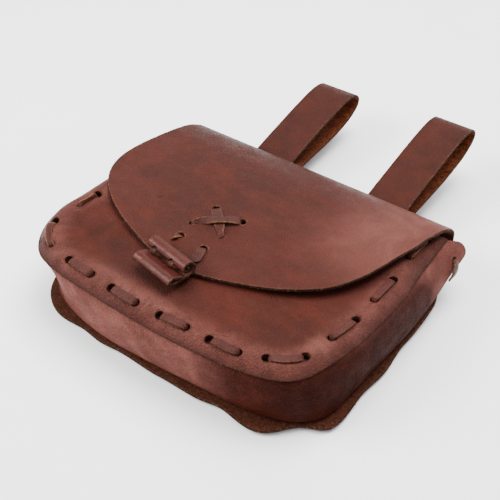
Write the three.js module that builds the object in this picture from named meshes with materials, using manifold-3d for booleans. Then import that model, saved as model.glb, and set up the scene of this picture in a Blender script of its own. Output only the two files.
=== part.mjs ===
// Leather belt pouch lying on its back: one hide forms the back, the fold over the top and the flap.
// A folded gusset strip and a puffed front panel are laced to it, two belt loops stand out behind the
// top, and a rolled leather toggle closes the flap.
// Millimetres. +X across the pouch, +Y towards its top, +Z out of its front.
import * as THREE from "three";
import { mergeVertices } from "three/addons/utils/BufferGeometryUtils.js";
import Module from "manifold-3d";

const wasm = await Module();
wasm.setup();

// Leather and lacing
const HIDE = 2.4; // thickness of the body leather
const SKIVED = 1.1; // thickness of the front panel at its pared edge
const SKIVE_WIDTH = 4;
const STRAP = 2.2; // thickness of the belt loops
const ROLL = 1.9; // thickness of the toggle's strip
const THONG = 1.5; // thickness of the lacing thong
const THONG_WIDTH = 5.4; // where it lies flat
const THONG_PINCHED = 3.7; // where it passes a hole
const HOLE_RADIUS = 3.1;
const HOLE_SIDES = 6;
const GAP = 0.3; // between pieces that lie on each other
const SEAM_GAP = 0.6; // between the front panel and the flange laced to it

// Front panel relief
const RIDGE_RISE = 5; // distance over which the rim rises from the seam
const RIDGE_END = 19; // distance at which the rim falls back
const RIDGE_FADE = 4;
const RIDGE_REST = 0.25; // share of the rim's height that the middle keeps
const DOME = { height: 8.5, x: -12, y: 92, halfWidth: 112, halfLength: 98 };
const FLAP_DOME = { height: 3.5, x: -12, y: 95, halfWidth: 112, halfLength: 88 };
const MOUTH_Y = 178; // free top edge of the front panel
const RIM_DEPTHS = [0, 3, 8, 15, 21]; // distances from the seam that the rim and the flange follow
const SEAM_COLUMNS = 34;
const BACK_FLANGE = 21; // width of the gusset's flange on the back
const FLARE = 8; // how far the gusset's free ends stand past their corners
const FLARE_SHARE = 0.045; // stretch of the seam over which they do
const REAR_INSET = 11.5; // distance of the rear lacing from the seam

// The seam from the pouch's upper left, round the bottom, to its upper right.
// back: gusset's foot on the back. front: cut edge of the front panel. rim: height of the raised rim.
const SEAM = [
  { backX: -117, backY: 179, frontX: -114, frontY: 178, frontZ: 40.5, bow: 5, rim: 4 },
  { backX: -117, backY: 150, frontX: -115.5, frontY: 146, frontZ: 42, bow: 3.5, rim: 5 },
  { backX: -115, backY: 112, frontX: -115.5, frontY: 108, frontZ: 43, bow: 2, rim: 5.6 },
  { backX: -114, backY: 78, frontX: -115.5, frontY: 72, frontZ: 43.5, bow: -3, rim: 8.8 },
  { backX: -112.5, backY: 50, frontX: -117.5, frontY: 43, frontZ: 44, bow: -5.5, rim: 8.5 },
  { backX: -106, backY: 27, frontX: -111, frontY: 21.5, frontZ: 43.5, bow: -5.5, rim: 6.5 },
  { backX: -93, backY: 13, frontX: -97.2, frontY: 6.2, frontZ: 43.5, bow: -4.5, rim: 6 },
  { backX: -70, backY: 5.2, frontX: -76, frontY: 0, frontZ: 43.5, bow: 0.5, rim: 5.5 },
  { backX: -38, backY: 0.6, frontX: -42, frontY: -2.9, frontZ: 43.5, bow: 3, rim: 5.5 },
  { backX: 0, backY: 0.9, frontX: -4, frontY: -4.6, frontZ: 43.5, bow: 3, rim: 5.5 },
  { backX: 38, backY: 3, frontX: 34, frontY: -4.2, frontZ: 43.5, bow: 3, rim: 5.5 },
  { backX: 70, backY: 5, frontX: 68, frontY: -0.6, frontZ: 43.5, bow: 3, rim: 5 },
  { backX: 92, backY: 10, frontX: 92, frontY: 6, frontZ: 43.2, bow: 2.5, rim: 5 },
  { backX: 108, backY: 20.5, frontX: 105, frontY: 17, frontZ: 43, bow: 2.5, rim: 5 },
  { backX: 115.5, backY: 33.5, frontX: 112, frontY: 36, frontZ: 43, bow: 2.5, rim: 5 },
  { backX: 117.4, backY: 62, frontX: 117.3, frontY: 64, frontZ: 42.8, bow: 3, rim: 5 },
  { backX: 119.5, backY: 105, frontX: 119, frontY: 104, frontZ: 42.5, bow: 3, rim: 5 },
  { backX: 121, backY: 145, frontX: 116, frontY: 138, frontZ: 42, bow: 4, rim: 5 },
  { backX: 119, backY: 179, frontX: 113, frontY: 178, frontZ: 40.5, bow: 6, rim: 4 },
];

// Middle of the back hide seen from the side: it lies flat and lifts towards the top
const BACK_RISE = [
  { y: 60, z: 1.2 },
  { y: 76, z: 1.2 },
  { y: 91, z: 1.2 },
  { y: 106, z: 1.3 },
  { y: 126, z: 2.7 },
  { y: 145, z: 6.2 },
];

// Middle of the fold from the top of the back to the crest of the flap, with its left and right ends
const FOLD = [
  { y: 160, z: 10, left: -117, right: 118 },
  { y: 171, z: 14.8, left: -113, right: 116 },
  { y: 179, z: 20, left: -108, right: 114 },
  { y: 184.5, z: 26, left: -105, right: 113 },
  { y: 187.6, z: 32.5, left: -104, right: 112.5 },
  { y: 187.4, z: 38.5, left: -103.5, right: 112.5 },
  { y: 183, z: 44.2, left: -103, right: 112.5 },
];
const FOLD_ROWS_ON_BACK = 4; // how many of its rows still face down

// Height of the flap's middle before its dome is added
const FLAP_RISE = [
  { y: 30, z: 50.5 },
  { y: 60, z: 51.5 },
  { y: 100, z: 52.3 },
  { y: 140, z: 52.8 },
  { y: 163, z: 51.2 },
  { y: 175, z: 48.3 },
  { y: 183, z: 44.2 },
];
const FLAP_DROOP = { height: 0.8, from: 85, over: 35 }; // how the flap's left end hangs

// Cut edge of the flap, from its left side round the tip to its right side
const FLAP_EDGE = [
  { x: -109, y: 148 },
  { x: -114, y: 130 },
  { x: -116.5, y: 112 },
  { x: -113, y: 96 },
  { x: -103, y: 81 },
  { x: -88, y: 68.5 },
  { x: -70, y: 58 },
  { x: -50, y: 49.5 },
  { x: -30, y: 43 },
  { x: -8, y: 40.5 },
  { x: 12, y: 43 },
  { x: 33, y: 49.5 },
  { x: 53, y: 58 },
  { x: 70, y: 69 },
  { x: 82, y: 80.5 },
  { x: 90.5, y: 95 },
  { x: 96.5, y: 111 },
  { x: 101, y: 128 },
  { x: 106, y: 146 },
];

// Width of the back hide's margin past the gusset at each crest and pinch of its wavy edge
const MARGIN = [
  { share: 0, width: 1.3 },
  { share: 0.05, width: 1.5 },
  { share: 0.085, width: 4.4 },
  { share: 0.12, width: 2.2 },
  { share: 0.16, width: 5 },
  { share: 0.2, width: 2.4 },
  { share: 0.24, width: 5.2 },
  { share: 0.275, width: 3.4 },
  { share: 0.345, width: 7.2 },
  { share: 0.39, width: 2.8 },
  { share: 0.415, width: 3.2 },
  { share: 0.448, width: 1.7 },
  { share: 0.51, width: 4.1 },
  { share: 0.568, width: 6.1 },
  { share: 0.597, width: 4.5 },
  { share: 0.643, width: 10.3 },
  { share: 0.69, width: 1.6 },
  { share: 0.724, width: 7.3 },
  { share: 0.782, width: 4.2 },
  { share: 0.818, width: 5.2 },
  { share: 0.873, width: 1.8 },
  { share: 1, width: 1.3 },
];

// Distance of the front lacing from the panel's cut edge
const LACE_PATH = [
  { u: 0, inset: 11.5 },
  { u: 0.12, inset: 12.5 },
  { u: 0.19, inset: 13.5 },
  { u: 0.262, inset: 8.3 },
  { u: 0.335, inset: 9 },
  { u: 0.392, inset: 10 },
  { u: 0.49, inset: 8.4 },
  { u: 0.6, inset: 9.4 },
  { u: 0.66, inset: 12 },
  { u: 1, inset: 12.6 },
];

// Outside runs of the front lacing, as places u of the seam from its upper left
const FRONT_STITCHES = [
  { from: 0.02, to: 0.05 },
  { from: 0.084, to: 0.114 },
  { from: 0.172, to: 0.207 },
  { from: 0.262, to: 0.335 },
  { from: 0.392, to: 0.431 },
  { from: 0.459, to: 0.491 },
  { from: 0.518, to: 0.546 },
  { from: 0.573, to: 0.607 },
  { from: 0.651, to: 0.738 },
  { from: 0.805, to: 0.846 },
  { from: 0.875, to: 0.907 },
  { from: 0.9535, to: 0.985 },
];
// Outside runs of the rear lacing, evenly spread along the seam
const REAR = { stitches: 8, start: 0.07, end: 0.93, share: 0.5 };

// Holes in the flap: the cross stitch and the toggle's thong
const CROSS = {
  under: { from: [-20.4, 98.8], to: [-0.9, 76.7] },
  over: { from: [-24, 77.6], to: [1.5, 96.4] },
};
// Holes of the thong that ties the toggle, and where its two ends lie on the flap
const TIE_HOLES = { from: [-23.4, 63.7], to: [-3, 62.1] };
const TIE_END = [
  { x: -23.6, y: 62.4, up: 1.1, width: 3.6 },
  { x: -24, y: 60, up: 1.6, width: 4 },
  { x: -24.8, y: 56, up: 1.4, width: 4 },
];
const TIE_TO_TOGGLE = [
  { x: -2.7, y: 60.8, up: 1.1, width: 4.2 },
  { x: -1.8, y: 57.5, up: 1.6, width: 5.4 },
  { x: -0.4, y: 52.5, up: 1.7, width: 5.4 },
  { x: 0.6, y: 48.8, up: 1.5, width: 5.4 },
];
const FLAP_HOLE_RADIUS = 3;

// Belt loops: the strap's middle line seen from the side, from the end of its upper leg
// round the loop to the end of its lower leg
const LOOP_LINE = [
  { y: 146, z: 3.6 },
  { y: 158, z: 6.3 },
  { y: 170, z: 11.1 },
  { y: 187, z: 17 },
  { y: 210, z: 24 },
  { y: 240, z: 30.5 },
  { y: 265, z: 35.5 },
  { y: 285, z: 38 },
  { y: 297, z: 36.5 },
  { y: 303, z: 32 },
  { y: 303, z: 26.5 },
  { y: 297, z: 21.5 },
  { y: 285, z: 17 },
  { y: 262, z: 13.5 },
  { y: 230, z: 11.8 },
  { y: 200, z: 10.5 },
  { y: 180, z: 9.6 },
  { y: 168, z: 7.7 },
  { y: 157, z: 3.3 },
  { y: 146, z: 0.9 },
];
const LOOP_WIDTH = 32.5;
const LOOPS = [
  { name: "belt_loop_left", tie: "loop_tie_left", x: -50, lean: 0, lift: 1 },
  { name: "belt_loop_right", tie: "loop_tie_right", x: 50, lean: 0.03, lift: 1.06 },
];
const LOOP_TIE_Y = 157;
const LOOP_TIE_HALF = 9; // half the distance between a tie's two holes

// Toggle: middle line of the rolled strip seen from its right end, across and up from the roll's middle
const TOGGLE_LINE = [
  { across: 0.2, up: 1.2 },
  { across: 1.5, up: 0.1 },
  { across: 0.5, up: -1.4 },
  { across: -1.5, up: -1.1 },
  { across: -2.5, up: 0.9 },
  { across: -1.2, up: 3.2 },
  { across: 1.8, up: 4 },
  { across: 4.8, up: 2.3 },
  { across: 6.1, up: -1 },
  { across: 5.2, up: -4.1 },
  { across: 1.5, up: -5.5 },
  { across: -4, up: -5.6 },
  { across: -9, up: -5.6 },
  { across: -13, up: -5.2 },
  { across: -14.8, up: -3.4 },
  { across: -13, up: -1.9 },
  { across: -11, up: -1.8 },
  { across: -8.8, up: -1.9 },
];
const TOGGLE = { x: -11.9, y: 39.3, length: 35.5, turn: -11.6, clearance: 7.2 };

const COLOUR = { grain: 0x7a4640, dark: 0x6b3a33, thong: 0x84524a };

// Smooth value of every named column of a table at t, 0 at its first row and 1 at its last
function along(table, t) {
  const last = table.length - 1;
  const place = THREE.MathUtils.clamp(t, 0, 1) * last;
  const index = Math.min(Math.floor(place), last - 1);
  const f = place - index;
  const row = (k) => table[THREE.MathUtils.clamp(k, 0, last)];
  const value = {};
  for (const key of Object.keys(table[0])) {
    const [a, b, c, d] = [-1, 0, 1, 2].map((k) => row(index + k)[key]);
    value[key] =
      0.5 * (2 * b + (c - a) * f + (2 * a - 5 * b + 4 * c - d) * f * f + (3 * b - a - 3 * c + d) * f ** 3);
  }
  return value;
}

// Value of column `out` where the rising column `key` reaches x, straight or eased between rows
function lookup(table, key, out, x, eased = false) {
  let i = 1;
  while (i < table.length - 1 && table[i][key] < x) {
    i++;
  }
  const [a, b] = [table[i - 1], table[i]];
  const f = THREE.MathUtils.clamp((x - a[key]) / (b[key] - a[key]), 0, 1);
  return a[out] + (b[out] - a[out]) * (eased ? THREE.MathUtils.smoothstep(f, 0, 1) : f);
}

const mix = THREE.MathUtils.lerp;

// Shares of the back seam's length, and the places u that they lie at
function measureSeam() {
  const samples = 400;
  const foot = (u) => {
    const s = along(SEAM, u);
    return new THREE.Vector2(s.backX, s.backY);
  };
  const run = [{ u: 0, share: 0 }];
  for (let i = 1; i <= samples; i++) {
    const u = i / samples;
    run.push({ u, share: run[i - 1].share + foot(u).distanceTo(foot(run[i - 1].u)) });
  }
  const length = run[samples].share;
  return run.map(({ u, share }) => ({ u, share: share / length }));
}
const SEAM_RUN = measureSeam();

const REAR_STEP = (REAR.end - REAR.start) / (REAR.stitches - 1 + REAR.share);
const REAR_STITCHES = Array.from({ length: REAR.stitches }, (_, i) => {
  const place = (step) => lookup(SEAM_RUN, "share", "u", REAR.start + step * REAR_STEP);
  return { from: place(i), to: place(i + REAR.share) };
});

function hump(x, y, dome) {
  const a = Math.max(0, 1 - ((x - dome.x) / dome.halfWidth) ** 2);
  const b = Math.max(0, 1 - ((y - dome.y) / dome.halfLength) ** 2);
  return dome.height * a * b;
}

// Direction across the seam, into the pouch
function inward(x, y) {
  const aim = new THREE.Vector3(THREE.MathUtils.clamp(x, -58, 58), THREE.MathUtils.clamp(y, 60, 132), 0);
  return aim.sub(new THREE.Vector3(x, y, 0)).normalize();
}

// Outer face of the front panel, d in from its cut edge at place u of the seam
function frontFace(u, d) {
  const s = along(SEAM, u);
  const p = new THREE.Vector3(s.frontX, s.frontY, 0).addScaledVector(inward(s.frontX, s.frontY), d);
  const rise = 1 - Math.exp(-((Math.max(d, 0) / RIDGE_RISE) ** 1.5));
  const fall = 1 / (1 + Math.exp((d - RIDGE_END) / RIDGE_FADE));
  const rim = s.rim * rise * (RIDGE_REST + (1 - RIDGE_REST) * fall);
  p.z = s.frontZ + rim + hump(p.x, p.y, DOME) - hump(s.frontX, s.frontY, DOME);
  return p;
}

// Upward normal of a surface given as a function of two parameters
function normalAt(surface, a, b, stepA, stepB) {
  const da = surface(a + stepA, b).sub(surface(a - stepA, b));
  const db = surface(a, b + stepB).sub(surface(a, b - stepB));
  const n = da.cross(db).normalize();
  return n.z < 0 ? n.negate() : n;
}

function frontBelow(u, d, depth) {
  const inside = THREE.MathUtils.clamp(u, 0.002, 0.998);
  return frontFace(u, d).addScaledVector(normalAt(frontFace, inside, d, 0.002, 0.5), -depth);
}

function frontThickness(d) {
  return mix(SKIVED, HIDE, THREE.MathUtils.smoothstep(d, 0, SKIVE_WIDTH));
}

// Point off the middle of the back hide, positive height towards the inside of the pouch
const BACK_LINE = [...BACK_RISE, ...FOLD.slice(0, FOLD_ROWS_ON_BACK)];
function backAt(x, y, height) {
  const z = (at) => lookup(BACK_LINE, "y", "z", at);
  const slope = (z(y + 1) - z(y - 1)) / 2;
  const length = Math.hypot(1, slope);
  return new THREE.Vector3(x, y - (height * slope) / length, z(y) + height / length);
}

function flapMiddle(x, y) {
  const droop = FLAP_DROOP.height * Math.max(0, (-x - FLAP_DROOP.from) / FLAP_DROOP.over) ** 2;
  return new THREE.Vector3(x, y, lookup(FLAP_RISE, "y", "z", y) + hump(x, y, FLAP_DOME) - droop);
}

// A closed solid around a surface: `at` gives its points for u and v from 0 to 1, and the leather
// reaches `above` along the normal and `below` against it. A ring closes on itself in u and its last
// row is one point.
function sheet(columns, rows, at, above, below, ring = false) {
  const across = ring ? columns : columns + 1;
  const index = (i, j) => (((i % across) + across) % across) * (rows + 1) + j;
  const middle = [];
  for (let i = 0; i < across; i++) {
    for (let j = 0; j <= rows; j++) {
      middle.push(at(i / columns, j / rows));
    }
  }
  const limit = (i) => (ring ? i : THREE.MathUtils.clamp(i, 0, columns));
  const side = (i, j) => middle[index(limit(i), THREE.MathUtils.clamp(j, 0, rows))];
  const faces = [[], []];
  for (let i = 0; i < across; i++) {
    for (let j = 0; j <= rows; j++) {
      const du = side(i + 1, j).clone().sub(side(i - 1, j));
      const dv = side(i, j + 1).clone().sub(side(i, j - 1));
      const n = du.cross(dv).normalize();
      if (ring && j === rows) {
        n.set(0, 0, 1);
      }
      faces[0].push(middle[index(i, j)].clone().addScaledVector(n, above(j / rows)));
      faces[1].push(middle[index(i, j)].clone().addScaledVector(n, -below(j / rows)));
    }
  }
  const positions = [];
  const triangle = (...corners) => corners.forEach((c) => positions.push(c.x, c.y, c.z));
  const quad = (a, b, c, d) => {
    triangle(a, b, c);
    triangle(a, c, d);
  };
  const [top, bottom] = faces;
  for (let i = 0; i < columns; i++) {
    for (let j = 0; j < rows; j++) {
      const [a, b, c, d] = [index(i, j), index(i + 1, j), index(i + 1, j + 1), index(i, j + 1)];
      quad(top[a], top[b], top[c], top[d]);
      quad(bottom[a], bottom[d], bottom[c], bottom[b]);
    }
    quad(top[index(i + 1, 0)], top[index(i, 0)], bottom[index(i, 0)], bottom[index(i + 1, 0)]);
    quad(top[index(i, rows)], top[index(i + 1, rows)], bottom[index(i + 1, rows)], bottom[index(i, rows)]);
  }
  if (!ring) {
    for (let j = 0; j < rows; j++) {
      const [a, b] = [index(0, j), index(0, j + 1)];
      quad(top[a], top[b], bottom[b], bottom[a]);
      const [c, d] = [index(columns, j), index(columns, j + 1)];
      quad(top[d], top[c], bottom[c], bottom[d]);
    }
  }
  const geometry = new THREE.BufferGeometry();
  geometry.setAttribute("position", new THREE.Float32BufferAttribute(positions, 3));
  return solidOf(geometry);
}

function solidOf(geometry) {
  const bare = geometry.clone();
  bare.deleteAttribute("normal");
  bare.deleteAttribute("uv");
  const merged = mergeVertices(bare, 1e-3);
  const corners = merged.index.array;
  const triangles = [];
  for (let i = 0; i < corners.length; i += 3) {
    const [a, b, c] = corners.slice(i, i + 3);
    if (a !== b && b !== c && c !== a) {
      triangles.push(a, b, c);
    }
  }
  const vertProperties = merged.attributes.position.array;
  return new wasm.Manifold(
    new wasm.Mesh({ numProp: 3, vertProperties, triVerts: new Uint32Array(triangles) }),
  );
}

function even(thickness) {
  return () => thickness / 2;
}

// A round punch through leather at a point, along a direction
function punch(point, direction, radius) {
  const depth = 16;
  const pin = new THREE.CylinderGeometry(radius, radius, depth, HOLE_SIDES);
  const turn = new THREE.Quaternion().setFromUnitVectors(new THREE.Vector3(0, 1, 0), direction);
  pin.applyQuaternion(turn);
  pin.translate(point.x, point.y, point.z);
  return solidOf(pin);
}

function cut(solid, punches) {
  return punches.reduce((left, tool) => left.subtract(tool), solid);
}

function addMesh(parent, name, solid, color, roughness = 0.5) {
  const mesh = solid.getMesh();
  const geometry = new THREE.BufferGeometry();
  geometry.setAttribute("position", new THREE.BufferAttribute(mesh.vertProperties, 3));
  geometry.setIndex(new THREE.BufferAttribute(mesh.triVerts, 1));
  geometry.computeVertexNormals();
  const material = new THREE.MeshStandardMaterial({ color, roughness, metalness: 0 });
  const made = new THREE.Mesh(geometry, material);
  made.name = name;
  parent.add(made);
}

// ---- The hide: back, fold and flap ----

// Point on the back's cut edge at place u of the seam
function marginPoint(u) {
  const s = along(SEAM, u);
  const width = lookup(MARGIN, "share", "width", lookup(SEAM_RUN, "u", "share", u), true);
  const foot = new THREE.Vector3(s.backX, s.backY, 0);
  return foot.addScaledVector(inward(s.backX, s.backY), -width);
}

const BOTTOM_FROM = 0.215; // places on the seam where the bottom's edge passes into the sides'
const BOTTOM_TO = 0.815;
const SIDE_SAMPLES = 24;
const sideEdge = (from, to) =>
  Array.from({ length: SIDE_SAMPLES }, (_, i) => marginPoint(mix(from, to, i / (SIDE_SAMPLES - 1))));
const LEFT_EDGE = sideEdge(BOTTOM_FROM, 0);
const RIGHT_EDGE = sideEdge(BOTTOM_TO, 1);

function hide() {
  const bottomRows = 2;
  const flapRows = 5;
  const columns = 28;
  const firstFold = bottomRows + BACK_RISE.length;
  const crestRow = firstFold + FOLD.length - 1;
  const rows = crestRow + flapRows;
  const at = (share, t) => {
    const s = 1 - share;
    const row = Math.round(t * rows);
    if (row < firstFold) {
      const line = BACK_RISE[Math.max(0, row - bottomRows)].y;
      const x = mix(lookup(LEFT_EDGE, "y", "x", line), lookup(RIGHT_EDGE, "y", "x", line), s);
      if (row >= bottomRows) {
        return backAt(x, line, 0);
      }
      const edge = marginPoint(mix(BOTTOM_FROM, BOTTOM_TO, s));
      return backAt(mix(edge.x, x, row / bottomRows), mix(edge.y, line, row / bottomRows), 0);
    }
    const fold = FOLD[Math.min(row, crestRow) - firstFold];
    const x = mix(fold.left, fold.right, s);
    if (row <= crestRow) {
      return new THREE.Vector3(x, fold.y, fold.z);
    }
    const edge = along(FLAP_EDGE, s);
    const down = (row - crestRow) / flapRows;
    return flapMiddle(mix(x, edge.x, down), mix(fold.y, edge.y, down));
  };
  const body = sheet(columns, rows, at, even(HIDE), even(HIDE));
  return cut(body, [...rearPunches(), ...flapPunches(), ...LOOPS.flatMap(loopTiePunches)]);
}

// ---- Front panel ----

function mouthPoint(share) {
  const [left, right] = [frontFace(0, 0), frontFace(1, 0)];
  const x = mix(right.x, left.x, share);
  return new THREE.Vector3(x, MOUTH_Y, mix(right.z, left.z, share) + hump(x, MOUTH_Y, DOME));
}

function frontPanel() {
  const mouthColumns = 6;
  const columns = SEAM_COLUMNS + mouthColumns;
  const depths = [...RIM_DEPTHS, 32];
  const rows = depths.length + 1;
  const centre = new THREE.Vector3(-6, 92, frontFace(0.5, 95).z);
  const at = (t, v) => {
    const column = Math.round(t * columns) % columns;
    const row = Math.round(v * rows);
    if (row === rows) {
      return centre.clone();
    }
    const depth = row < depths.length ? depths[row] : 48;
    if (column <= SEAM_COLUMNS) {
      return frontFace(column / SEAM_COLUMNS, depth);
    }
    const edge = mouthPoint((column - SEAM_COLUMNS) / (mouthColumns + 1));
    const p = edge.clone().addScaledVector(inward(edge.x, edge.y), depth);
    const rest = RIDGE_REST * SEAM[0].rim * Math.min(1, depth / RIDGE_RISE);
    p.z = edge.z + rest + hump(p.x, p.y, DOME) - hump(edge.x, edge.y, DOME);
    return p;
  };
  const below = (v) => frontThickness(depths[Math.round(v * rows)] ?? SKIVE_WIDTH);
  const body = sheet(columns, rows, at, () => 0, below, true);
  return cut(body, frontPunches());
}

// ---- Gusset: wall with a flange turned in at the back and at the front ----

const WALL = [
  { up: 0.1, out: 0 },
  { up: 0.42, out: 1 },
  { up: 0.78, out: 0.8 },
];

const FOOT_ROWS = 4;

function gussetPoint(u, row) {
  const s = along(SEAM, u);
  const foot = (d) => {
    const p = new THREE.Vector3(s.backX, s.backY, 0).addScaledVector(inward(s.backX, s.backY), d);
    return backAt(p.x, p.y, HIDE / 2 + GAP);
  };
  const head = (d) => frontBelow(u, d, frontThickness(d) + SEAM_GAP);
  const footRows = [foot(BACK_FLANGE), foot(BACK_FLANGE / 2), foot(3.5), foot(1)];
  footRows[FOOT_ROWS - 1].z += 1;
  if (row < FOOT_ROWS) {
    return footRows[row];
  }
  if (row >= FOOT_ROWS + WALL.length) {
    return head(RIM_DEPTHS[row - FOOT_ROWS - WALL.length]);
  }
  const { up, out } = WALL[row - FOOT_ROWS];
  const p = foot(0).lerp(head(0), up);
  const end = THREE.MathUtils.smoothstep(Math.abs(u - 0.5), 0.5 - FLARE_SHARE, 0.5);
  p.addScaledVector(inward(s.frontX, s.frontY), -s.bow * out);
  p.y += FLARE * end * Math.sin(Math.PI * up);
  return p;
}

function gusset() {
  const rows = FOOT_ROWS + WALL.length + RIM_DEPTHS.length - 1;
  const at = (u, v) => gussetPoint(u, Math.round(v * rows));
  const body = sheet(SEAM_COLUMNS, rows, at, () => 0, () => HIDE);
  return cut(body, [...frontPunches(), ...rearPunches()]);
}

// ---- Lacing ----

// Frame on the line of the front lacing: a point, the way along the seam, and the outward normal
function frontLine(u) {
  const spot = (at) => frontFace(at, lookup(LACE_PATH, "u", "inset", at, true));
  const inside = THREE.MathUtils.clamp(u, 0.004, 0.996);
  const inset = lookup(LACE_PATH, "u", "inset", inside, true);
  const normal = normalAt(frontFace, inside, inset, 0.004, 1);
  const way = spot(inside + 0.004).sub(spot(inside - 0.004)).normalize();
  return { point: spot(u), normal, way };
}

// The same on the back, with the normal out of the back
function rearLine(u) {
  const spot = (at) => {
    const s = along(SEAM, at);
    const p = new THREE.Vector2(s.backX, s.backY).addScaledVector(inward(s.backX, s.backY), REAR_INSET);
    return backAt(p.x, p.y, -HIDE / 2);
  };
  const point = spot(u);
  const way = spot(u + 0.004).sub(spot(u - 0.004)).normalize();
  const normal = backAt(0, point.y, -HIDE / 2).sub(backAt(0, point.y, HIDE / 2)).normalize();
  return { point, normal, way };
}

function holesOf(stitches) {
  return stitches.flatMap((s) => [s.from, s.to]);
}

function punchesOn(line, stitches) {
  return holesOf(stitches).map((u) => {
    const { point, normal } = line(u);
    return punch(point, normal, HOLE_RADIUS);
  });
}

function frontPunches() {
  return punchesOn(frontLine, FRONT_STITCHES);
}

function rearPunches() {
  return punchesOn(rearLine, REAR_STITCHES);
}

// A thong through given knots, each a point with the direction across its width and its width there
function thong(knots) {
  const last = knots.length - 1;
  const at = (t, v) => {
    const k = knots[Math.round(t * last)];
    return k.point.clone().addScaledVector(k.across, (v - 0.5) * k.width);
  };
  return sheet(last, 1, at, even(THONG), even(THONG));
}

// Knots of a passage through a hole between a depth under the face and a height over it
function passage(frame, depth, height, rising, before, after) {
  const across = new THREE.Vector3().crossVectors(frame.normal, frame.way).normalize();
  const low = -depth;
  const steps = [
    { along: before, up: low, width: THONG_WIDTH },
    { along: 0, up: low + 1.2, width: THONG_PINCHED },
    { along: 0, up: height - 1.2, width: THONG_PINCHED },
    { along: after, up: height, width: THONG_WIDTH },
  ];
  const knots = steps.map((s) => ({
    point: frame.point.clone().addScaledVector(frame.way, s.along).addScaledVector(frame.normal, s.up),
    across,
    width: s.width,
  }));
  return rising ? knots : knots.reverse();
}

const LACE_EASE = 0.5; // gap between the leather and the lacing over it
const LACE_HANG = 1.7; // and under it
const RUN_ARCH = 0.4; // how far an outside run stands off its middle
const RUN_SAG = 1.3; // how far an inside run hangs

// Running stitch: outside runs from `from` to `to`, and inside runs between them
function lace(line, stitches, stack) {
  const over = THONG / 2 + LACE_EASE;
  const under = stack + THONG / 2 + LACE_HANG;
  const bend = 2.6;
  const knots = [];
  const runKnot = (u, height) => {
    const frame = line(u);
    const across = new THREE.Vector3().crossVectors(frame.normal, frame.way).normalize();
    knots.push({ point: frame.point.addScaledVector(frame.normal, height), across, width: THONG_WIDTH });
  };
  stitches.forEach((s, i) => {
    const up = passage(line(s.from), under, over, true, -bend, bend);
    const down = passage(line(s.to), under, over, false, bend, -bend);
    knots.push(...up);
    runKnot(mix(s.from, s.to, 0.35), over + RUN_ARCH);
    runKnot(mix(s.from, s.to, 0.65), over + RUN_ARCH);
    knots.push(...down);
    const next = stitches[i + 1];
    if (next) {
      runKnot(mix(s.to, next.from, 0.35), -under - RUN_SAG);
      runKnot(mix(s.to, next.from, 0.65), -under - RUN_SAG);
    }
  });
  return thong(knots);
}

// ---- Flap fittings ----

function flapFrame(x, y) {
  const point = flapMiddle(x, y).add(new THREE.Vector3(0, 0, HIDE / 2));
  const normal = normalAt((a, b) => flapMiddle(a, b), x, y, 1, 1);
  return { point, normal };
}

function flapPunches() {
  const spots = [CROSS.under, CROSS.over, TIE_HOLES].flatMap((c) => [c.from, c.to]);
  return spots.map(([x, y]) => {
    const { point, normal } = flapFrame(x, y);
    return punch(point, normal, FLAP_HOLE_RADIUS);
  });
}

// A thong that comes up one hole of the flap and goes down another, its ends cut short underneath
function flapStitch(from, to, arch, width) {
  const way = new THREE.Vector3(to[0] - from[0], to[1] - from[1], 0);
  const span = way.length();
  way.normalize();
  const depth = HIDE + 0.1;
  const stations = [
    { at: -0.2, up: -depth, share: 0.7 },
    { at: 0, up: -0.8, share: 0.7 },
    { at: 0.7, up: 0.8, share: 0.7 },
    { at: 2.8, up: 1.2, share: 1 },
    { at: span / 2 - 5, up: 1.2 + arch * 0.55, share: 1 },
    { at: span / 2, up: 1.2 + arch, share: 1 },
    { at: span / 2 + 5, up: 1.2 + arch * 0.55, share: 1 },
    { at: span - 2.8, up: 1.2, share: 1 },
    { at: span - 0.7, up: 0.8, share: 0.7 },
    { at: span, up: -0.8, share: 0.7 },
    { at: span + 0.2, up: -depth, share: 0.7 },
  ];
  const knots = stations.map((s) => {
    const spot = new THREE.Vector3(from[0], from[1], 0).addScaledVector(way, s.at);
    const { point, normal } = flapFrame(spot.x, spot.y);
    const across = new THREE.Vector3().crossVectors(normal, way).normalize();
    return { point: point.addScaledVector(normal, s.up), across, width: width * s.share };
  });
  return thong(knots);
}

function toggleFrame() {
  const turn = THREE.MathUtils.degToRad(TOGGLE.turn);
  const axis = new THREE.Vector3(Math.cos(turn), Math.sin(turn), 0);
  const up = new THREE.Vector3(0, 0, 1);
  const across = new THREE.Vector3().crossVectors(up, axis);
  const centre = flapMiddle(TOGGLE.x, TOGGLE.y).addScaledVector(up, HIDE / 2 + TOGGLE.clearance);
  return { axis, up, across, centre };
}

function toggle() {
  const { axis, up, across, centre } = toggleFrame();
  const steps = (TOGGLE_LINE.length - 1) * 2;
  const at = (t, v) => {
    const p = along(TOGGLE_LINE, t);
    const q = centre.clone().addScaledVector(across, p.across).addScaledVector(up, p.up);
    return q.addScaledVector(axis, (0.5 - v) * TOGGLE.length);
  };
  return sheet(steps, 1, at, even(ROLL), even(ROLL));
}

// A thong that comes up a hole of the flap and lies along given spots, each with its height off the flap
function flapTail(hole, spots) {
  const places = [
    { x: hole[0], y: hole[1], up: -HIDE - 0.1, width: 3.2 },
    { x: hole[0], y: hole[1], up: -0.6, width: 3.2 },
    ...spots,
  ];
  const frames = places.map((s) => flapFrame(s.x, s.y));
  const ends = [places[1], places[places.length - 1]];
  const way = new THREE.Vector3(ends[1].x - ends[0].x, ends[1].y - ends[0].y, 0).normalize();
  const knots = places.map((s, i) => {
    const { point, normal } = frames[i];
    const across = new THREE.Vector3().crossVectors(normal, way).normalize();
    return { point: point.clone().addScaledVector(normal, s.up), across, width: s.width };
  });
  return thong(knots);
}

// ---- Belt loops ----

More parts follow.
